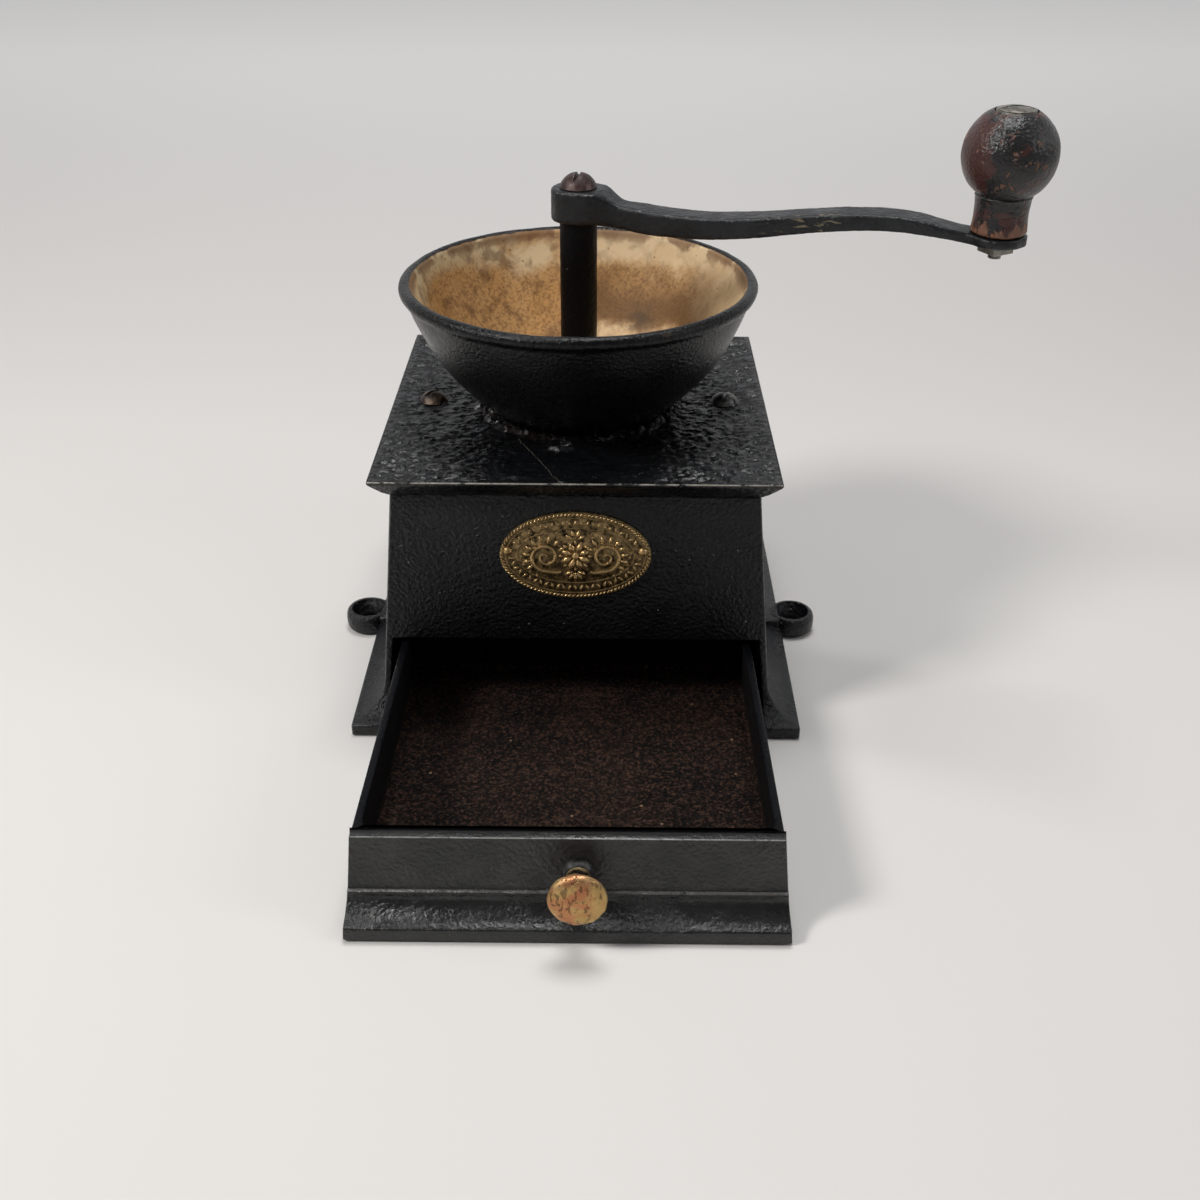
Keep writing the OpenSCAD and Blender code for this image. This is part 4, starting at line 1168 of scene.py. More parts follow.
# %% [markdown]
# ## The knob
# The knob is turned from hardwood: a short neck that runs into a ball, with a fine groove
# between. It was lacquered black. The lacquer has worn through to red-brown
# on the ball and to bare orange-brown wood round the neck, where fingers hold it.

# %% Knob shape
knob_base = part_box("crank_knob")[0].z
washer_low, washer_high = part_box("knob_washer")
bolt_low, bolt_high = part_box("knob_bolt")
nut_low, nut_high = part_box("knob_nut")
ball_r, neck_r, bore_r = 13.8 * MM, 8.2 * MM, 2.3 * MM
ball_z = knob_base + 22.5 * MM
recess_r, recess_z = 6.2 * MM, washer_low.z - 0.3 * MM


def crank_knob():
    meet = -math.degrees(math.acos((neck_r + 0.1 * MM) / ball_r))
    crown = math.degrees(math.acos((recess_r + 0.2 * MM) / ball_r))
    ball = arc((0, ball_z), ball_r, meet, crown, 36)
    neck_top = ball[0][1]
    neck = [(neck_r - 0.7 * MM, knob_base), (neck_r - 0.1 * MM, knob_base + 0.5 * MM)]
    neck += [(neck_r - 0.3 * MM * math.sin(math.pi * i / 8),
              knob_base + MM + (neck_top - knob_base - 2 * MM) * i / 8) for i in range(9)]
    groove = [(neck_r + 0.2 * MM, neck_top - 0.6 * MM), (neck_r - 0.1 * MM, neck_top - 0.15 * MM)]
    recess = [(recess_r, ball[-1][1] - 0.2 * MM), (recess_r, recess_z), (bore_r, recess_z)]
    outline = [(bore_r, knob_base)] + neck + groove + ball + recess + [(bore_r, knob_base)]
    knob = turn("crank_knob_wood", outline, 96)
    rough_cast(knob, 0.16 * MM, 7 * MM)
    return put(knob, knob_frame)


# %% Knob finish
LACQUER = (0.0135, 0.0122, 0.0128, 1)
RED_BROWN = (0.052, 0.0175, 0.014, 1)
BARE_WOOD = (0.30, 0.14, 0.082, 1)


def knob_wood():
    material, tree, shader, at = new_finish("knob_wood", Specular_IOR_Level=0.5)
    centred = mapped(tree, at, Location=tuple(-c for c in knob_frame.translation))
    place = split(tree, centred)
    long_grain = mapped(tree, centred, Scale=(1.0, 1.0, 0.12))
    fibres = clouds(tree, long_grain, 900.0, 4.0, 0.6)
    low = ramp(tree, place[2], knob_base, knob_base + 13 * MM, 0.19, 0.0)
    left = ramp(tree, place[0], -13 * MM, -3 * MM, 0.2, -0.03)
    red_level = maths(tree, "ADD", clouds(tree, at, 130.0, 4.0, 0.6), left)
    red = ramp(tree, maths(tree, "ADD", red_level, times(tree, low, 0.5)), 0.53, 0.60)
    streaks = mapped(tree, centred, Scale=(1.0, 1.0, 0.45))
    bare_level = maths(tree, "ADD", clouds(tree, streaks, 300.0, 5.0, 0.62), low)
    spots = blotches(tree, at, 330.0, 0.625, 0.02)
    bare = maths(tree, "MAXIMUM", ramp(tree, bare_level, 0.62, 0.69), times(tree, spots, 0.75))
    tone = blend(tree, red, LACQUER, RED_BROWN)
    wood = blend(tree, fibres, tuple(c * 0.45 for c in BARE_WOOD[:3]) + (1,), BARE_WOOD)
    tone = cover(tree, tone, wood, bare, 0.85)
    gloss = ramp(tree, bare, 0.0, 1.0, 0.25, 0.5)
    crackle = cast_grain(tree, at, 1100.0, 0.4)
    ridges = maths(tree, "ADD", times(tree, fibres, 0.5), times(tree, crackle, 0.8))
    ridges = maths(tree, "SUBTRACT", ridges, bare)
    drive(tree, shader, Base_Color=tone, Roughness=gloss, Normal=bump(tree, ridges, 0.0003))
    return material


finish(crank_knob(), "handle", "knob_wood", knob_wood(), "crank_knob", angle=40)

# %% [markdown]
# ## The knob's bolt, washer and nut
# The knob turns on a bolt that a square nut holds under the arm. The nut is a
# grown block whose corners were filed off, and the washer is a thin turned ring.

# %% Small fastenings of the knob
steel = screw_metal("grey_steel", (0.13, 0.122, 0.105, 1), (0.27, 0.255, 0.22, 1),
                    (0.5, 0.48, 0.42, 1), 0.42, 0.7)
dull_steel = screw_metal("dull_steel", (0.05, 0.05, 0.048, 1), (0.11, 0.105, 0.098, 1),
                         (0.3, 0.29, 0.27, 1), 0.45, 0.7)


def square_nut(name, flats, thick, hole_r):
    """A square nut on Z = 0, with filed corners and a thread hole."""
    nut = grow(name, [(0, 0, z, flats / 2, flats / 2) for z in (0, thick)])
    soften(nut, 0.4 * MM, 2)
    hole = turn("thread", [(0, -MM), (hole_r, -MM), (hole_r, thick + MM), (0, thick + MM)], 32)
    combine(nut, hole, "DIFFERENCE")
    return nut


def washer(name, outer, inner, thick):
    edge = 0.2 * MM
    return turn(name, [(inner, 0), (outer - edge, 0), (outer, edge), (outer, thick - edge),
                       (outer - edge, thick), (inner, thick), (inner, 0)], 64)


def on_knob(piece, z, turned=0):
    """Puts a piece on the knob's axis, turned by so many degrees."""
    spin = Matrix.Rotation(math.radians(turned), 4, "Z")
    return put(piece, knob_frame @ Matrix.Translation((0, 0, z)) @ spin)


bolt_head_r, bolt_r, bolt_hole_r = 5.7 * MM, 1.95 * MM, 2.05 * MM
knob_bolt = slotted_screw("knob_bolt_steel", bolt_head_r, bolt_high.z - washer_high.z,
                          1.1 * MM, 0.9 * MM, 20, bolt_r, washer_high.z - bolt_low.z)
finish(on_knob(knob_bolt, washer_high.z), "crank", "grey_steel", steel, "knob_bolt")
knob_washer = washer("knob_washer_steel", bolt_head_r, bolt_hole_r, washer_high.z - washer_low.z)
finish(on_knob(knob_washer, washer_low.z), "crank", "grey_steel", steel, "knob_washer")
knob_nut = square_nut("knob_nut_steel", 7.6 * MM, nut_high.z - nut_low.z, bolt_hole_r)
finish(on_knob(knob_nut, nut_low.z, 46), "crank", "grey_steel", steel, "knob_nut")

# %% [markdown]
# ## The drawer
# The drawer is one casting too: a front that carries on the plinth and the hollow moulding of
# the box, and a tray behind it. The front is grown ring by ring up its moulding, the tray
# is a second block, and one rounded block is cut from both to make the inside.

# %% Drawer sizes
drawer_plinth = base - 2 * MM
drawer_out = -drawer_low.y - drawer_plinth
drawer_top = drawer_high.z
front_t = 3.2 * MM
drawer_gap = 1.2 * MM
bead_z, bead_r = plinth_t + 6.9 * MM, 1.1 * MM
tray_z = 2.3 * MM
tray_back = drawer_high.y + drawer_out


def drawer_half(z):
    return bay_half - drawer_gap + bay_spread * (bay_top - z) / (bay_top + MM)


def tray_half(z):
    return wall(z) - wall_t - 0.7 * MM


def drawer_face():
    """The face of the front as (distance from the middle of the box, height), with its bead."""
    plinth = [(drawer_plinth - 0.4 * MM, 0.3 * MM), (drawer_plinth, 0.8 * MM)]
    cove = [p for p in cove_points(drawer_plinth) if p[1] < bead_z - 0.7 * MM]
    inward = wall(bead_z) + 0.1 * MM
    bead = [(inward + bead_r * math.cos(a), bead_z + bead_r * 0.8 * math.sin(a))
            for a in [math.radians(t) for t in (-30, 0, 30, 60, 85)]]
    above = [(wall(z), z) for z in (bead_z + bead_r + 0.2 * MM, drawer_top - 0.01 * MM)]
    return plinth + cove + bead + above


# %% Drawer shape
def drawer():
    def front_ring(face, z):
        back = wall(z) - front_t
        return (0, -(face + back) / 2, z, drawer_half(z), (face - back) / 2)

    front = grow("drawer_iron", [front_ring(face, z) for face, z in drawer_face()])
    begin = -wall(drawer_top) + front_t / 2
    body = grow("tray", [(0, (begin + tray_back) / 2, z, tray_half(z), (tray_back - begin) / 2)
                         for z in (tray_z, drawer_top - 0.012 * MM)])
    cavity_back = tray_back - 2.5 * MM
    cavity_front = -wall(drawer_top) + front_t
    along, half_long = (cavity_front + cavity_back) / 2, (cavity_back - cavity_front) / 2
    cavity = grow("cavity", [(0, along, z, tray_half(z) - 2.4 * MM, half_long)
                             for z in (tray_z + 2.4 * MM, drawer_top + 2 * MM)])
    for block in (body, cavity):
        for point in block.data.vertices:
            if point.co.y > 0:
                point.co.x -= math.copysign(1.8 * MM, point.co.x)
    pick_edges(cavity, lambda a, b: abs(a.z - b.z) > 5 * MM)
    bpy.ops.mesh.bevel(offset=5 * MM, segments=7)
    bpy.ops.object.mode_set(mode="OBJECT")
    pick_edges(cavity, lambda a, b: max(a.z, b.z) < tray_z + 3 * MM)
    bpy.ops.mesh.bevel(offset=1.6 * MM, segments=3)
    bpy.ops.object.mode_set(mode="OBJECT")
    combine(front, body, "UNION")
    combine(front, cavity, "DIFFERENCE")
    soften(front, 0.45 * MM, 2, 40)
    return put(front, Matrix.Translation((0, -drawer_out, 0)))


# %% [markdown]
# Inside, the bare iron of the tray has rusted to a fine mottle of brown and black, and its walls
# are painted near black as shade. Outside, the front's paint is thin and satin, with edges rubbed
# to pale grey lines that are partly painted highlights, and the tray's is dull. The three finishes
# go on by face: faces are selected by place and get theirs.

# %% Drawer finish
RUST_DARK = (0.0042, 0.0031, 0.0028, 1)
RUST_RED = (0.021, 0.0115, 0.0083, 1)
PIT_BLACK = (0.0014, 0.0011, 0.0011, 1)
RUST_BRIGHT = (0.085, 0.042, 0.028, 1)
CRUMB_TAN = (0.35, 0.22, 0.14, 1)
TRAY_WALL_SHADE = (0.003, 0.0028, 0.003, 1)


def tray_rust_and_shade():
    material, tree, shader, at = new_finish("tray_rust_and_shade", Roughness=0.7, Specular_IOR_Level=0.15)
    place = split(tree, at)
    coarse = blotches(tree, at, 34.0, 0.5, 0.12)
    fine = blotches(tree, at, 520.0, 0.5, 0.07)
    finer = blotches(tree, at, 1000.0, 0.55, 0.05)
    tone = blend(tree, coarse, RUST_DARK, RUST_RED)
    tone = cover(tree, tone, PIT_BLACK, fine, 0.8)
    tone = cover(tree, tone, RUST_BRIGHT, finer, 0.6)
    crumbs = use(tree, SPECKS, Vector=at, Scale=330.0, Size=0.16, Share=0.035)
    tone = cover(tree, tone, CRUMB_TAN, crumbs, 0.6)
    # Painted shade: the walls of the tray, above its floor, are darkened to near black.
    tone = blend(tree, ramp(tree, place[2], 5.2 * MM, 8.0 * MM, 0.0, 0.93), tone, TRAY_WALL_SHADE)
    drive(tree, shader, Base_Color=tone, Normal=bump(tree, fine, 0.0005))
    return material


DRAWER_BLACK = (0.006, 0.0061, 0.0066, 1)
DRAWER_GREY = (0.012, 0.0121, 0.0124, 1)
DUSTY_DARK = (0.016, 0.0158, 0.0158, 1)
DUSTY_LIGHT = (0.028, 0.0272, 0.026, 1)
TOP_GREY = (0.0065, 0.0065, 0.0066, 1)
SIDE_LINE = (0.05, 0.05, 0.048, 1)
LIP_LINE = (0.32, 0.32, 0.31, 1)


def drawer_iron():
    material, tree, shader, at = new_finish("drawer_iron", Specular_IOR_Level=0.5)
    place = split(tree, at)
    patch = blotches(tree, at, 60.0, 0.52, 0.12)
    broken = blotches(tree, at, 320.0, 0.37, 0.14)
    dark = blend(tree, patch, DRAWER_BLACK, DRAWER_GREY)
    dusty = blend(tree, patch, DUSTY_DARK, DUSTY_LIGHT)
    bead = ramp(tree, maths(tree, "ABSOLUTE", maths(tree, "SUBTRACT", place[2], bead_z + 0.7 * MM)),
                0.1 * MM, 0.35 * MM, 1.0, 0.0)
    top = ramp(tree, place[2], drawer_top - 0.45 * MM, drawer_top - 0.15 * MM)
    from_face = maths(tree, "ADD", place[1], wall(drawer_top) + drawer_out)
    behind = ramp(tree, from_face, 1.4 * MM, 2.2 * MM)
    dust = times(tree, ramp(tree, place[2], bead_z + MM, bead_z + 2.6 * MM),
                 maths(tree, "SUBTRACT", 1.0, behind))
    tone = blend(tree, dust, dark, dusty)
    tone = blend(tree, behind, tone, BLACK)
    rim = ramp(tree, place[2], drawer_top - 0.5 * MM, drawer_top - 0.3 * MM)
    tone = cover(tree, tone, TOP_GREY, behind, rim)
    # Partly painted highlight: the pale lip line on the top front edge and the bead line are rubbed
    # paint and also painted highlights.
    lip = times(tree, top, ramp(tree, from_face, 0.1 * MM, 0.4 * MM, 1.0, 0.0))
    side = times(tree, top, ramp(tree, from_face, 3 * MM, 6 * MM))
    foot_line = ramp(tree, place[2], 0.5 * MM, 1.1 * MM, 1.0, 0.0)
    for mask, share, colour in ((side, 0.12, SIDE_LINE), (bead, 0.75, GREY_WEAR_AND_HIGHLIGHT),
                                (foot_line, 0.3, GREY_WEAR_AND_HIGHLIGHT), (lip, 0.9, LIP_LINE)):
        tone = blend(tree, times(tree, times(tree, mask, broken), share), tone, colour)
    gloss = uneven(tree, at, 80.0, 0.22, 0.34)
    gloss = maths(tree, "MAXIMUM", gloss, times(tree, behind, 0.6))
    grain = cast_grain(tree, at, 820.0, 0.45)
    rough = ramp(tree, clouds(tree, at, 45.0, 3.0, 0.6), 0.4, 0.6, 0.35, 1.0)
    drive(tree, shader, Base_Color=tone, Roughness=gloss,
          Normal=bump(tree, times(tree, grain, rough), 0.00045))
    return material


def paint_drawer(piece):
    """Satin paint on the front, dull paint on the tray behind it, and rust with painted shade
    inside the tray.
    """
    def tray(centre, normal):
        return centre.y + drawer_out > -wall(drawer_top) + front_t - 0.3 * MM

    def inner(centre, normal):
        y = centre.y + drawer_out
        across = abs(centre.x) < tray_half(centre.z) - 1.9 * MM
        along = -wall(centre.z) + front_t - 0.5 * MM < y < tray_back - 2.1 * MM
        return across and along and tray_z + 1.5 * MM < centre.z < drawer_top - 0.5 * MM

    dull = black_iron("tray_iron", 700.0, 0.0003, 0.5, 0.6, 0.03, shine=0.1)
    for material in (drawer_iron(), tray_rust_and_shade(), dull):
        piece.data.materials.append(material)
    for index, test in ((2, tray), (1, inner)):
        pick_faces(piece, test)
        piece.active_material_index = index
        bpy.ops.object.material_slot_assign()
        bpy.ops.object.mode_set(mode="OBJECT")
    print("rusty faces:", sum(face.material_index == 1 for face in piece.data.polygons))
    return piece


finish(paint_drawer(drawer()), "drawer", "drawer_iron", None, "drawer")

# %% [markdown]
# ## The pull
# The pull is a brass disc on an iron stud. The disc is slightly domed, a little out of
# true, and rubbed to gold and copper with dark spots left in the hollows.

# %% Pull and stud
LEAN_ANGLE = math.atan(lean)
pull_z = drawer_top - 10.5 * MM
pull_x = 3 * MM


def on_front(x, z, out):
    """A frame on the front of the box or drawer: Z outwards, Y up the wall."""
    lay_back = Matrix.Rotation(math.pi / 2 - LEAN_ANGLE, 4, "X")
    return Matrix.Translation((x, -wall(z) - out, z)) @ lay_back


pull_frame = on_front(pull_x, pull_z, drawer_out)


def pull_disc():
    r, out, thick = 8.1 * MM, 11.2 * MM, 3.9 * MM
    rim = [(r - 1.4 * MM, out), (r - 0.5 * MM, out + 0.35 * MM), (r - 0.05 * MM, out + 1.1 * MM),
           (r, out + 1.7 * MM), (r - 0.3 * MM, out + 2.4 * MM), (r - 1.0 * MM, out + 2.9 * MM)]
    crown = [(r * share, out + thick - 0.9 * MM * share ** 2)
             for share in (0.75, 0.6, 0.45, 0.3, 0.15, 0)]
    neck = [(0, 3.2 * MM), (3.4 * MM, 3.2 * MM), (3.0 * MM, 5.2 * MM), (3.0 * MM, out - 1.8 * MM),
            (4.4 * MM, out)]
    disc = turn("drawer_pull_brass", neck + rim + crown, 72)
    rough_cast(disc, 0.22 * MM, 3.2 * MM, lambda at: 1 if at.z > out - MM else 0)
    return put(disc, pull_frame)


def pull_stud():
    stud = turn("pull_stud_iron", [(0, -9 * MM), (2.4 * MM, -9 * MM), (2.4 * MM, -front_t),
                                   (2.4 * MM, 0), (3.8 * MM, 0), (4.2 * MM, 0.5 * MM),
                                   (4.2 * MM, 2.4 * MM), (3.6 * MM, 3.19 * MM), (2 * MM, 3.19 * MM),
                                   (2 * MM, 11 * MM), (0, 11 * MM)], 48)
    rough_cast(stud, 0.12 * MM, 2 * MM)
    return put(stud, pull_frame)


BRASS = (0.52, 0.34, 0.13, 1)
COPPER = (0.50, 0.21, 0.10, 1)
BRASS_STAIN = (0.10, 0.05, 0.026, 1)
BRASS_SPOT = (0.012, 0.009, 0.007, 1)
BRASS_RUBBED = (0.68, 0.50, 0.26, 1)


def pull_brass():
    material, tree, shader, at = new_finish("pull_brass", Metallic=0.85)
    copper = blotches(tree, at, 170.0, 0.5, 0.1)
    streaked = mapped(tree, at, Scale=(1.0, 1.0, 0.5))
    dark = blotches(tree, streaked, 850.0, 0.57, 0.05)
    worn = edge_wear(tree, at, 300.0, 0.52, 0.58)
    tone = blend(tree, copper, BRASS, COPPER)
    tone = cover(tree, tone, BRASS_STAIN, dark, 0.7)
    outward = pull_frame.col[2].xyz
    out = vectors(tree, "DOT_PRODUCT", at, tuple(outward))
    start = pull_frame.translation.dot(outward)
    back = ramp(tree, out, start + 10.2 * MM, start + 11.2 * MM, 1.0, 0.0)
    tone = blend(tree, back, tone, BRASS_SPOT)
    tone = cover(tree, tone, BRASS_RUBBED, worn, 0.5)
    gloss = uneven(tree, at, 260.0, 0.34, 0.56)
    height = maths(tree, "SUBTRACT", clouds(tree, at, 900.0, 4.0, 0.6), dark)
    drive(tree, shader, Base_Color=tone, Roughness=gloss, Normal=bump(tree, height, 0.00012))
    return material


finish(pull_disc(), "drawer", "pull_brass", pull_brass(), "drawer_pull", angle=50)
finish(pull_stud(), "drawer", "bare_iron", works_iron, "pull_stud")

# %% [markdown]
# ## The plaque
# An oval brass plate is riveted to the front. It was cast with its relief, so the relief
# here is modelled too: a cord round the rim, a ring of small leaves, and a rosette
# between two curled stems. One leaf, one petal and one curl are shaped and then copied.

# %% Plaque parts
plaque_low, plaque_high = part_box("plaque")
PLAQUE_A, PLAQUE_B, PLAQUE_T = 24.3 * MM, 15 * MM, 1.2 * MM
RIVET_X, RIVET_Y = 21.6 * MM, 1.6 * MM
plaque_z = (plaque_low.z + plaque_high.z) / 2
plaque_frame = on_front(0, plaque_z, 0.0)


def oval(name, a, b, z0, z1, edge=0.3 * MM):
    take()
    bpy.ops.mesh.primitive_cylinder_add(vertices=96, radius=1, depth=z1 - z0,
                                        location=(0, 0, (z0 + z1) / 2))
    piece = bpy.context.object
    piece.name = name
    edit_points()
    bpy.ops.transform.resize(value=(a, b, 1), center_override=(0, 0, 0))
    bpy.ops.object.mode_set(mode="OBJECT")
    bpy.ops.object.transform_apply(location=True, rotation=True, scale=True)
    soften(piece, edge, 2)
    return piece


def oval_at(share, a, b):
    """Place and heading on an oval after a share of its length."""
    steps = 720
    points = [(a * math.cos(2 * math.pi * i / steps),
               b * math.sin(2 * math.pi * i / steps)) for i in range(steps + 1)]
    lengths = [0]
    for p, q in zip(points, points[1:]):
        lengths.append(lengths[-1] + math.dist(p, q))
    goal = share * lengths[-1]
    i = next(k for k in range(steps) if lengths[k + 1] >= goal)
    (x0, y0), (x1, y1) = points[i], points[i + 1]
    return Vector(((x0 + x1) / 2, (y0 + y1) / 2, 0)), math.atan2(y1 - y0, x1 - x0)


def pod(name, long, wide, high):
    """A small rounded leaf that lies along X: a ball, drawn out and pointed."""
    take()
    bpy.ops.mesh.primitive_uv_sphere_add(segments=12, ring_count=7, radius=1,
                                         rotation=(0, math.pi / 2, 0))
    piece = bpy.context.object
    piece.name = name
    bpy.ops.object.transform_apply(location=True, rotation=True, scale=True)
    for point in piece.data.vertices:
        width = max(0.0, 1 - abs(point.co.x) ** 1.6)
        size = math.sqrt(max(1e-6, 1 - point.co.x ** 2))
        point.co = Vector((point.co.x * long, point.co.y / size * width * wide,
                           point.co.z / size * width * high))
    return piece


def copies(piece, places, name):
    """Copies a piece to each place and joins the copies."""
    made = []
    for place in places:
        other = piece.copy()
        other.data = piece.data.copy()
        bpy.context.scene.collection.objects.link(other)
        other.data.transform(place)
        made.append(other)
    bpy.data.objects.remove(piece)
    return join(made, name)


def placed(at, heading, lift=0.0):
    return Matrix.Translation(Vector((at.x, at.y, lift))) @ Matrix.Rotation(heading, 4, "Z")


# %% Plaque
def ring_of_pods(part, count, inset, slant, name, skip=0.0):
    """Copies of a part along an oval inside the plate's edge, none within skip of a rivet."""
    places = []
    for i in range(count):
        at, heading = oval_at((i + 0.5) / count, PLAQUE_A - inset, PLAQUE_B - inset)
        if math.dist((abs(at.x), at.y), (RIVET_X, RIVET_Y)) > skip:
            turned = math.radians(slant if i % 2 else slant * (1 if name == "cord" else -1))
            places.append(placed(at, heading + turned, PLAQUE_T))
    return copies(part, places, name)


def oval_line(inset, thick):
    """A raised line: an oval path with a round section."""
    curve = bpy.data.curves.new("line", "CURVE")
    curve.dimensions = "3D"
    curve.bevel_depth = thick
    curve.bevel_resolution = 2
    path = curve.splines.new("POLY")
    path.use_cyclic_u = True
    path.points.add(95)
    for i, point in enumerate(path.points):
        a = 2 * math.pi * i / 96
        point.co = ((PLAQUE_A - inset) * math.cos(a), (PLAQUE_B - inset) * math.sin(a), PLAQUE_T, 1)
    return to_mesh(curve, "line")


def to_mesh(curve, name):
    piece = bpy.data.objects.new(name, curve)
    bpy.context.scene.collection.objects.link(piece)
    take(piece)
    bpy.ops.object.convert(target="MESH")
    return bpy.context.object


def volute():
    """A stem that leaves the rosette and curls up into an eye, thinner as it goes."""
    curve = bpy.data.curves.new("volute", "CURVE")
    curve.dimensions = "3D"
    curve.bevel_depth = 0.75 * MM
    curve.bevel_resolution = 2
    curve.use_fill_caps = True
    points = [(4.6, -5.6, 0.6), (6.0, -5.9, 0.8), (7.6, -5.7, 0.9)]
    for i in range(44):
        t = i / 43
        r = 4.3 * (1 - t) ** 0.85 + 0.55
        a = math.radians(-78 + 560 * t)
        points.append((9.6 + r * math.cos(a), -0.5 + r * math.sin(a), 1.0 - 0.45 * t))
    path = curve.splines.new("POLY")
    path.points.add(len(points) - 1)
    for point, (x, y, size) in zip(path.points, points):
        point.co = (x * MM, y * MM, PLAQUE_T + 0.15 * MM, 1)
        point.radius = size
    return to_mesh(curve, "volute")


def fan(middle, start, end, count, reach):
    """Places for leaves that spread from a middle, between two headings in degrees."""
    places = []
    for i in range(count):
        a = math.radians(start + (end - start) * i / max(1, count - 1))
        x, y = middle[0] + reach * math.cos(a), middle[1] + reach * math.sin(a)
        places.append(placed(Vector((x * MM, y * MM, 0)), a, PLAQUE_T))
    return places


def mirrored(places):
    flip = Matrix.Scale(-1, 4, (1, 0, 0))
    return places + [flip @ place for place in places]


def plaque():
    parts = [oval("plate", PLAQUE_A, PLAQUE_B, 0, PLAQUE_T), oval_line(1.95 * MM, 0.2 * MM),
             oval_line(5.5 * MM, 0.2 * MM)]
    strand = pod("strand", 0.95 * MM, 0.45 * MM, 0.55 * MM)
    parts.append(ring_of_pods(strand, 96, 0.8 * MM, 38, "cord"))
    leaf = pod("leaf", 1.1 * MM, 0.5 * MM, 0.5 * MM)
    parts.append(ring_of_pods(leaf, 54, 3.7 * MM, 62, "leaf_band", 2.7 * MM))
    petal = pod("petal", 2.1 * MM, 1.15 * MM, 1.3 * MM)
    parts.append(copies(petal, fan((0, 0), 22.5, 337.5, 8, 3.0), "petals"))
    sepal = pod("sepal", 1.0 * MM, 0.5 * MM, 0.7 * MM)
    parts.append(copies(sepal, fan((0, 0), 0, 315, 8, 4.6), "sepals"))
    heart = pod("heart", 1.5 * MM, 1.9 * MM, 1.3 * MM)
    heart.data.transform(Matrix.Translation((0, 0, PLAQUE_T)))
    stems = copies(volute(), mirrored([Matrix.Identity(4)]), "stems")
    spread = fan((9.6, -0.5), -35, 75, 6, 6.1) + fan((9.6, -0.5), 100, 150, 3, 6.0)
    leaves = copies(pod("blade", 1.5 * MM, 0.72 * MM, 0.95 * MM), mirrored(spread), "blades")
    low = fan((0, -5.2), 200, 340, 5, 2.2) + fan((0, 5.4), 30, 150, 4, 2.2)
    sprays = copies(pod("spray", 1.5 * MM, 0.7 * MM, 0.95 * MM), low, "sprays")
    spots = [(17.3, -0.4), (16.6, -3.0), (16.4, 2.6), (5.4, 6.4), (12.4, -6.9), (14.6, -5.4)]
    places = mirrored([Matrix.Translation((x * MM, y * MM, PLAQUE_T)) for x, y in spots])
    dots = copies(pod("dot", 0.6 * MM, 0.75 * MM, 0.55 * MM), places, "dots")
    plate = join(parts + [heart, stems, leaves, sprays, dots], "plaque_brass")
    close_up(plate)
    return put(plate, plaque_frame)


# %% [markdown]
# Brass darkens in its hollows and stays bright where sleeves brush it. The finish follows
# the height of the relief, so the field goes brown and the raised lines stay gold. The dark
# field is partly patina and partly painted shade.

# %% Plaque finish
FIELD_DARK = (0.007, 0.005, 0.0026, 1)
FIELD_BROWN = (0.026, 0.0175, 0.008, 1)
RELIEF_GOLD = (0.42, 0.28, 0.115, 1)
RELIEF_BRIGHT = (0.66, 0.44, 0.20, 1)
RELIEF_SPOT = (0.03, 0.02, 0.011, 1)
RELIEF_RUBBED = (0.60, 0.41, 0.19, 1)


def plaque_brass():
    material, tree, shader, at = new_finish("plaque_brass", Metallic=0.85)
    outward = plaque_frame.col[2].xyz
    level = vectors(tree, "DOT_PRODUCT", at, tuple(outward))
    field = plaque_frame.translation.dot(outward) + PLAQUE_T
    worn = edge_wear(tree, at, 500.0, 0.505, 0.56)
    patch = blotches(tree, at, 140.0, 0.5, 0.12)
    spots = blotches(tree, at, 620.0, 0.56, 0.06)
    # Partly painted shade: the low field is darkened as patina and also as shade under the relief.
    hollow = blend(tree, patch, FIELD_DARK, FIELD_BROWN)
    raised = blend(tree, patch, RELIEF_GOLD, RELIEF_BRIGHT)
    tone = blend(tree, ramp(tree, level, field + 0.16 * MM, field + 0.6 * MM), hollow, raised)
    tone = cover(tree, tone, RELIEF_SPOT, spots, 0.4)
    tone = cover(tree, tone, RELIEF_RUBBED, worn, 0.6)
    gloss = uneven(tree, at, 420.0, 0.22, 0.42)
    drive(tree, shader, Base_Color=tone, Roughness=gloss,
          Normal=bump(tree, clouds(tree, at, 1100.0, 4.0, 0.6), 0.00014))
    return material


plaque_finish = plaque_brass()
finish(plaque(), "root", "plaque_brass", plaque_finish, "plaque", angle=40)


def rivet(side):
    dome = arc((0, -0.2 * MM), 1.6 * MM, 12, 90, 8)
    shank = [(0, -4 * MM), (0.9 * MM, -4 * MM), (0.9 * MM, 0), (1.55 * MM, 0)]
    head = turn("rivet", shank + dome, 32)
    rough_cast(head, 0.06 * MM, 0.9 * MM)
    return put(head, plaque_frame @ Matrix.Translation((side * RIVET_X, RIVET_Y, PLAQUE_T)))


finish(join([rivet(-1), rivet(1)], "plaque_rivets_brass"), "root", "plaque_brass", plaque_finish,
       "plaque_rivets")

# %% [markdown]
# ## The works under the deck
# The toothed ring, the cone, the bearing bridge and the adjusting screw are exact in the CAD
# model already. Their finished pieces start from a copy of that mesh. The copy is merged,
# its sharp edges are rounded, and it gets the dull iron or the dull steel.

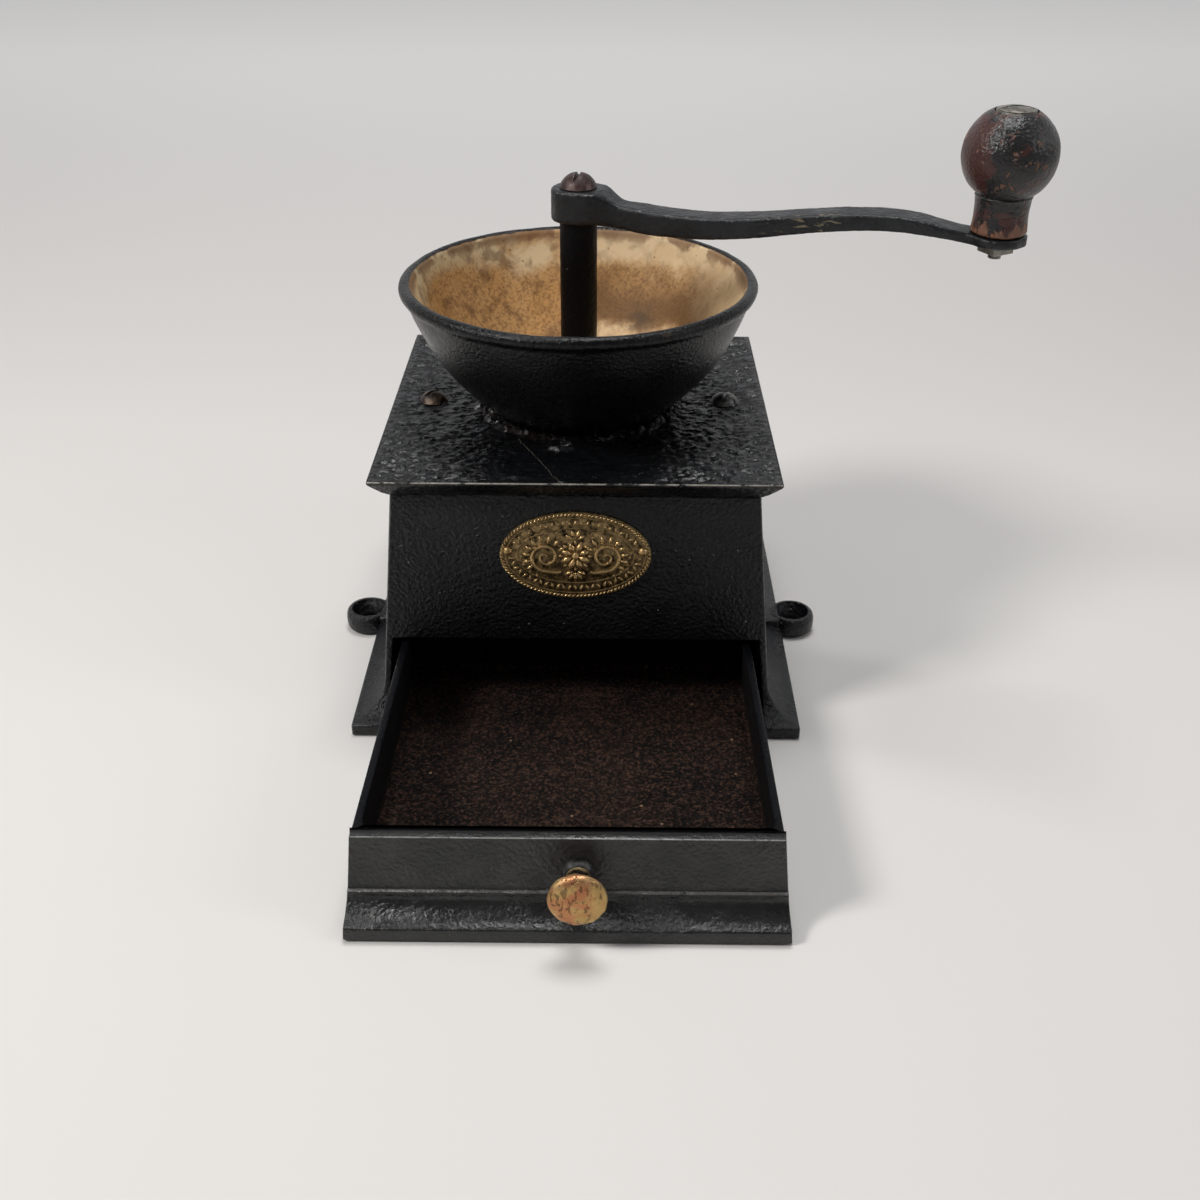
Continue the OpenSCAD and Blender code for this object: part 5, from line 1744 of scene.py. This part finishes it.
# %% Works
def dress(node, name, body, slot, material, edge=0.15 * MM):
    source = bpy.data.objects[node]
    piece = source.copy()
    piece.data = source.data.copy()
    piece.name = name
    bpy.context.scene.collection.objects.link(piece)
    piece.parent = None
    piece.data.transform(source.matrix_world)
    piece.matrix_world = Matrix.Identity(4)
    close_up(piece)
    if edge:
        apply_modifier(piece, "BEVEL", width=edge, segments=1, limit_method="ANGLE",
                       angle_limit=math.radians(40), use_clamp_overlap=True)
    return finish(piece, body, slot, material, node, angle=40)


WORKS = [("burr_shell", "root", "bare_iron"), ("burr_cone", "crank", "bare_iron"),
         ("burr_pin", "crank", "grey_steel"), ("bearing_bridge", "root", "bare_iron"),
         ("bridge_screws", "root", "grey_steel"), ("adjusting_screw", "adjuster", "bare_iron"),
         ("lock_nut", "root", "grey_steel"), ("footstep", "step", "bare_iron"),
         ("hopper_screws", "root", "grey_steel"), ("pull_nut", "drawer", "grey_steel")]
for node, body, slot in WORKS:
    material = works_iron if slot == "bare_iron" else dull_steel
    dress(node, node + "_metal", body, slot, material)

# %% [markdown]
# ## Light and floor
# The mill stands on a pale table in soft daylight that comes mostly from above and from
# the left. Wide lamps give black paint long soft highlights, and a plain pale world
# lifts the shadows. The lamps stay well clear of the mill.

# %% Floor and lamps
NEAR_FLOOR = (0.735, 0.715, 0.69, 1)
FAR_FLOOR = (0.70, 0.675, 0.655, 1)


def floor_finish():
    """A pale table. Far away only the camera sees it lit a little more, as a wall would be."""
    material, tree, shader, at = new_finish("floor_white", Roughness=0.6, Specular_IOR_Level=0.2,
                                            Emission_Strength=1.0)
    back = split(tree, at)[1]
    tone = blend(tree, ramp(tree, back, -0.1, 0.35), NEAR_FLOOR, FAR_FLOOR)
    seen = add(tree, "ShaderNodeLightPath").outputs["Is Camera Ray"]
    glow = times(tree, ramp(tree, back, 0.2, 1.3, 0.0, 0.33), seen)
    drive(tree, shader, Base_Color=tone, Emission_Color=glow)
    return material


take()
bpy.ops.mesh.primitive_plane_add(size=6, location=(0, 0, -0.0002))
floor = bpy.context.object
floor.name = "floor"
floor.data.materials.append(floor_finish())


def lamp(name, at, aim, size, watts, colour=(1, 1, 1)):
    data = bpy.data.lights.new(name, "AREA")
    data.shape = "RECTANGLE"
    data.size, data.size_y = size
    data.energy = watts
    data.color = colour
    made = bpy.data.objects.new(name, data)
    bpy.context.scene.collection.objects.link(made)
    heading = (Vector(aim) - Vector(at)).to_track_quat("-Z", "Y").to_matrix().to_4x4()
    made.matrix_world = Matrix.Translation(Vector(at)) @ heading
    return made


lamp("window", (-0.85, -0.45, 0.95), (0, 0, 0.1), (0.3, 0.3), 9.5, (1.0, 0.99, 0.97))
lamp("ceiling", (0.05, 0.15, 1.3), (0, 0, 0.08), (0.5, 0.4), 8.5)
lamp("right", (1.1, -0.3, 0.7), (0, 0, 0.1), (0.4, 0.5), 2.0, (0.98, 0.99, 1.0))


def sky():
    """A soft grey world, with a pale wall behind the mill that only reflections see."""
    world = bpy.data.worlds.new("sky")
    bpy.context.scene.world = world
    world.use_nodes = True
    tree = world.node_tree
    heading = split(tree, add(tree, "ShaderNodeTexCoord").outputs["Generated"])
    low = ramp(tree, heading[2], 0.5, 0.75, 1.0, 0.0)
    behind = times(tree, ramp(tree, heading[1], 0.15, 0.6), low)
    mirrored_ray = add(tree, "ShaderNodeLightPath").outputs["Is Glossy Ray"]
    wall_light = times(tree, behind, mirrored_ray)
    background = tree.nodes["Background"]
    background.inputs["Color"].default_value = (0.97, 0.98, 1.0, 1)
    tree.links.new(ramp(tree, wall_light, 0.0, 1.0, 0.17, 0.62), background.inputs["Strength"])


sky()
bpy.context.scene.view_settings.view_transform = "Standard"
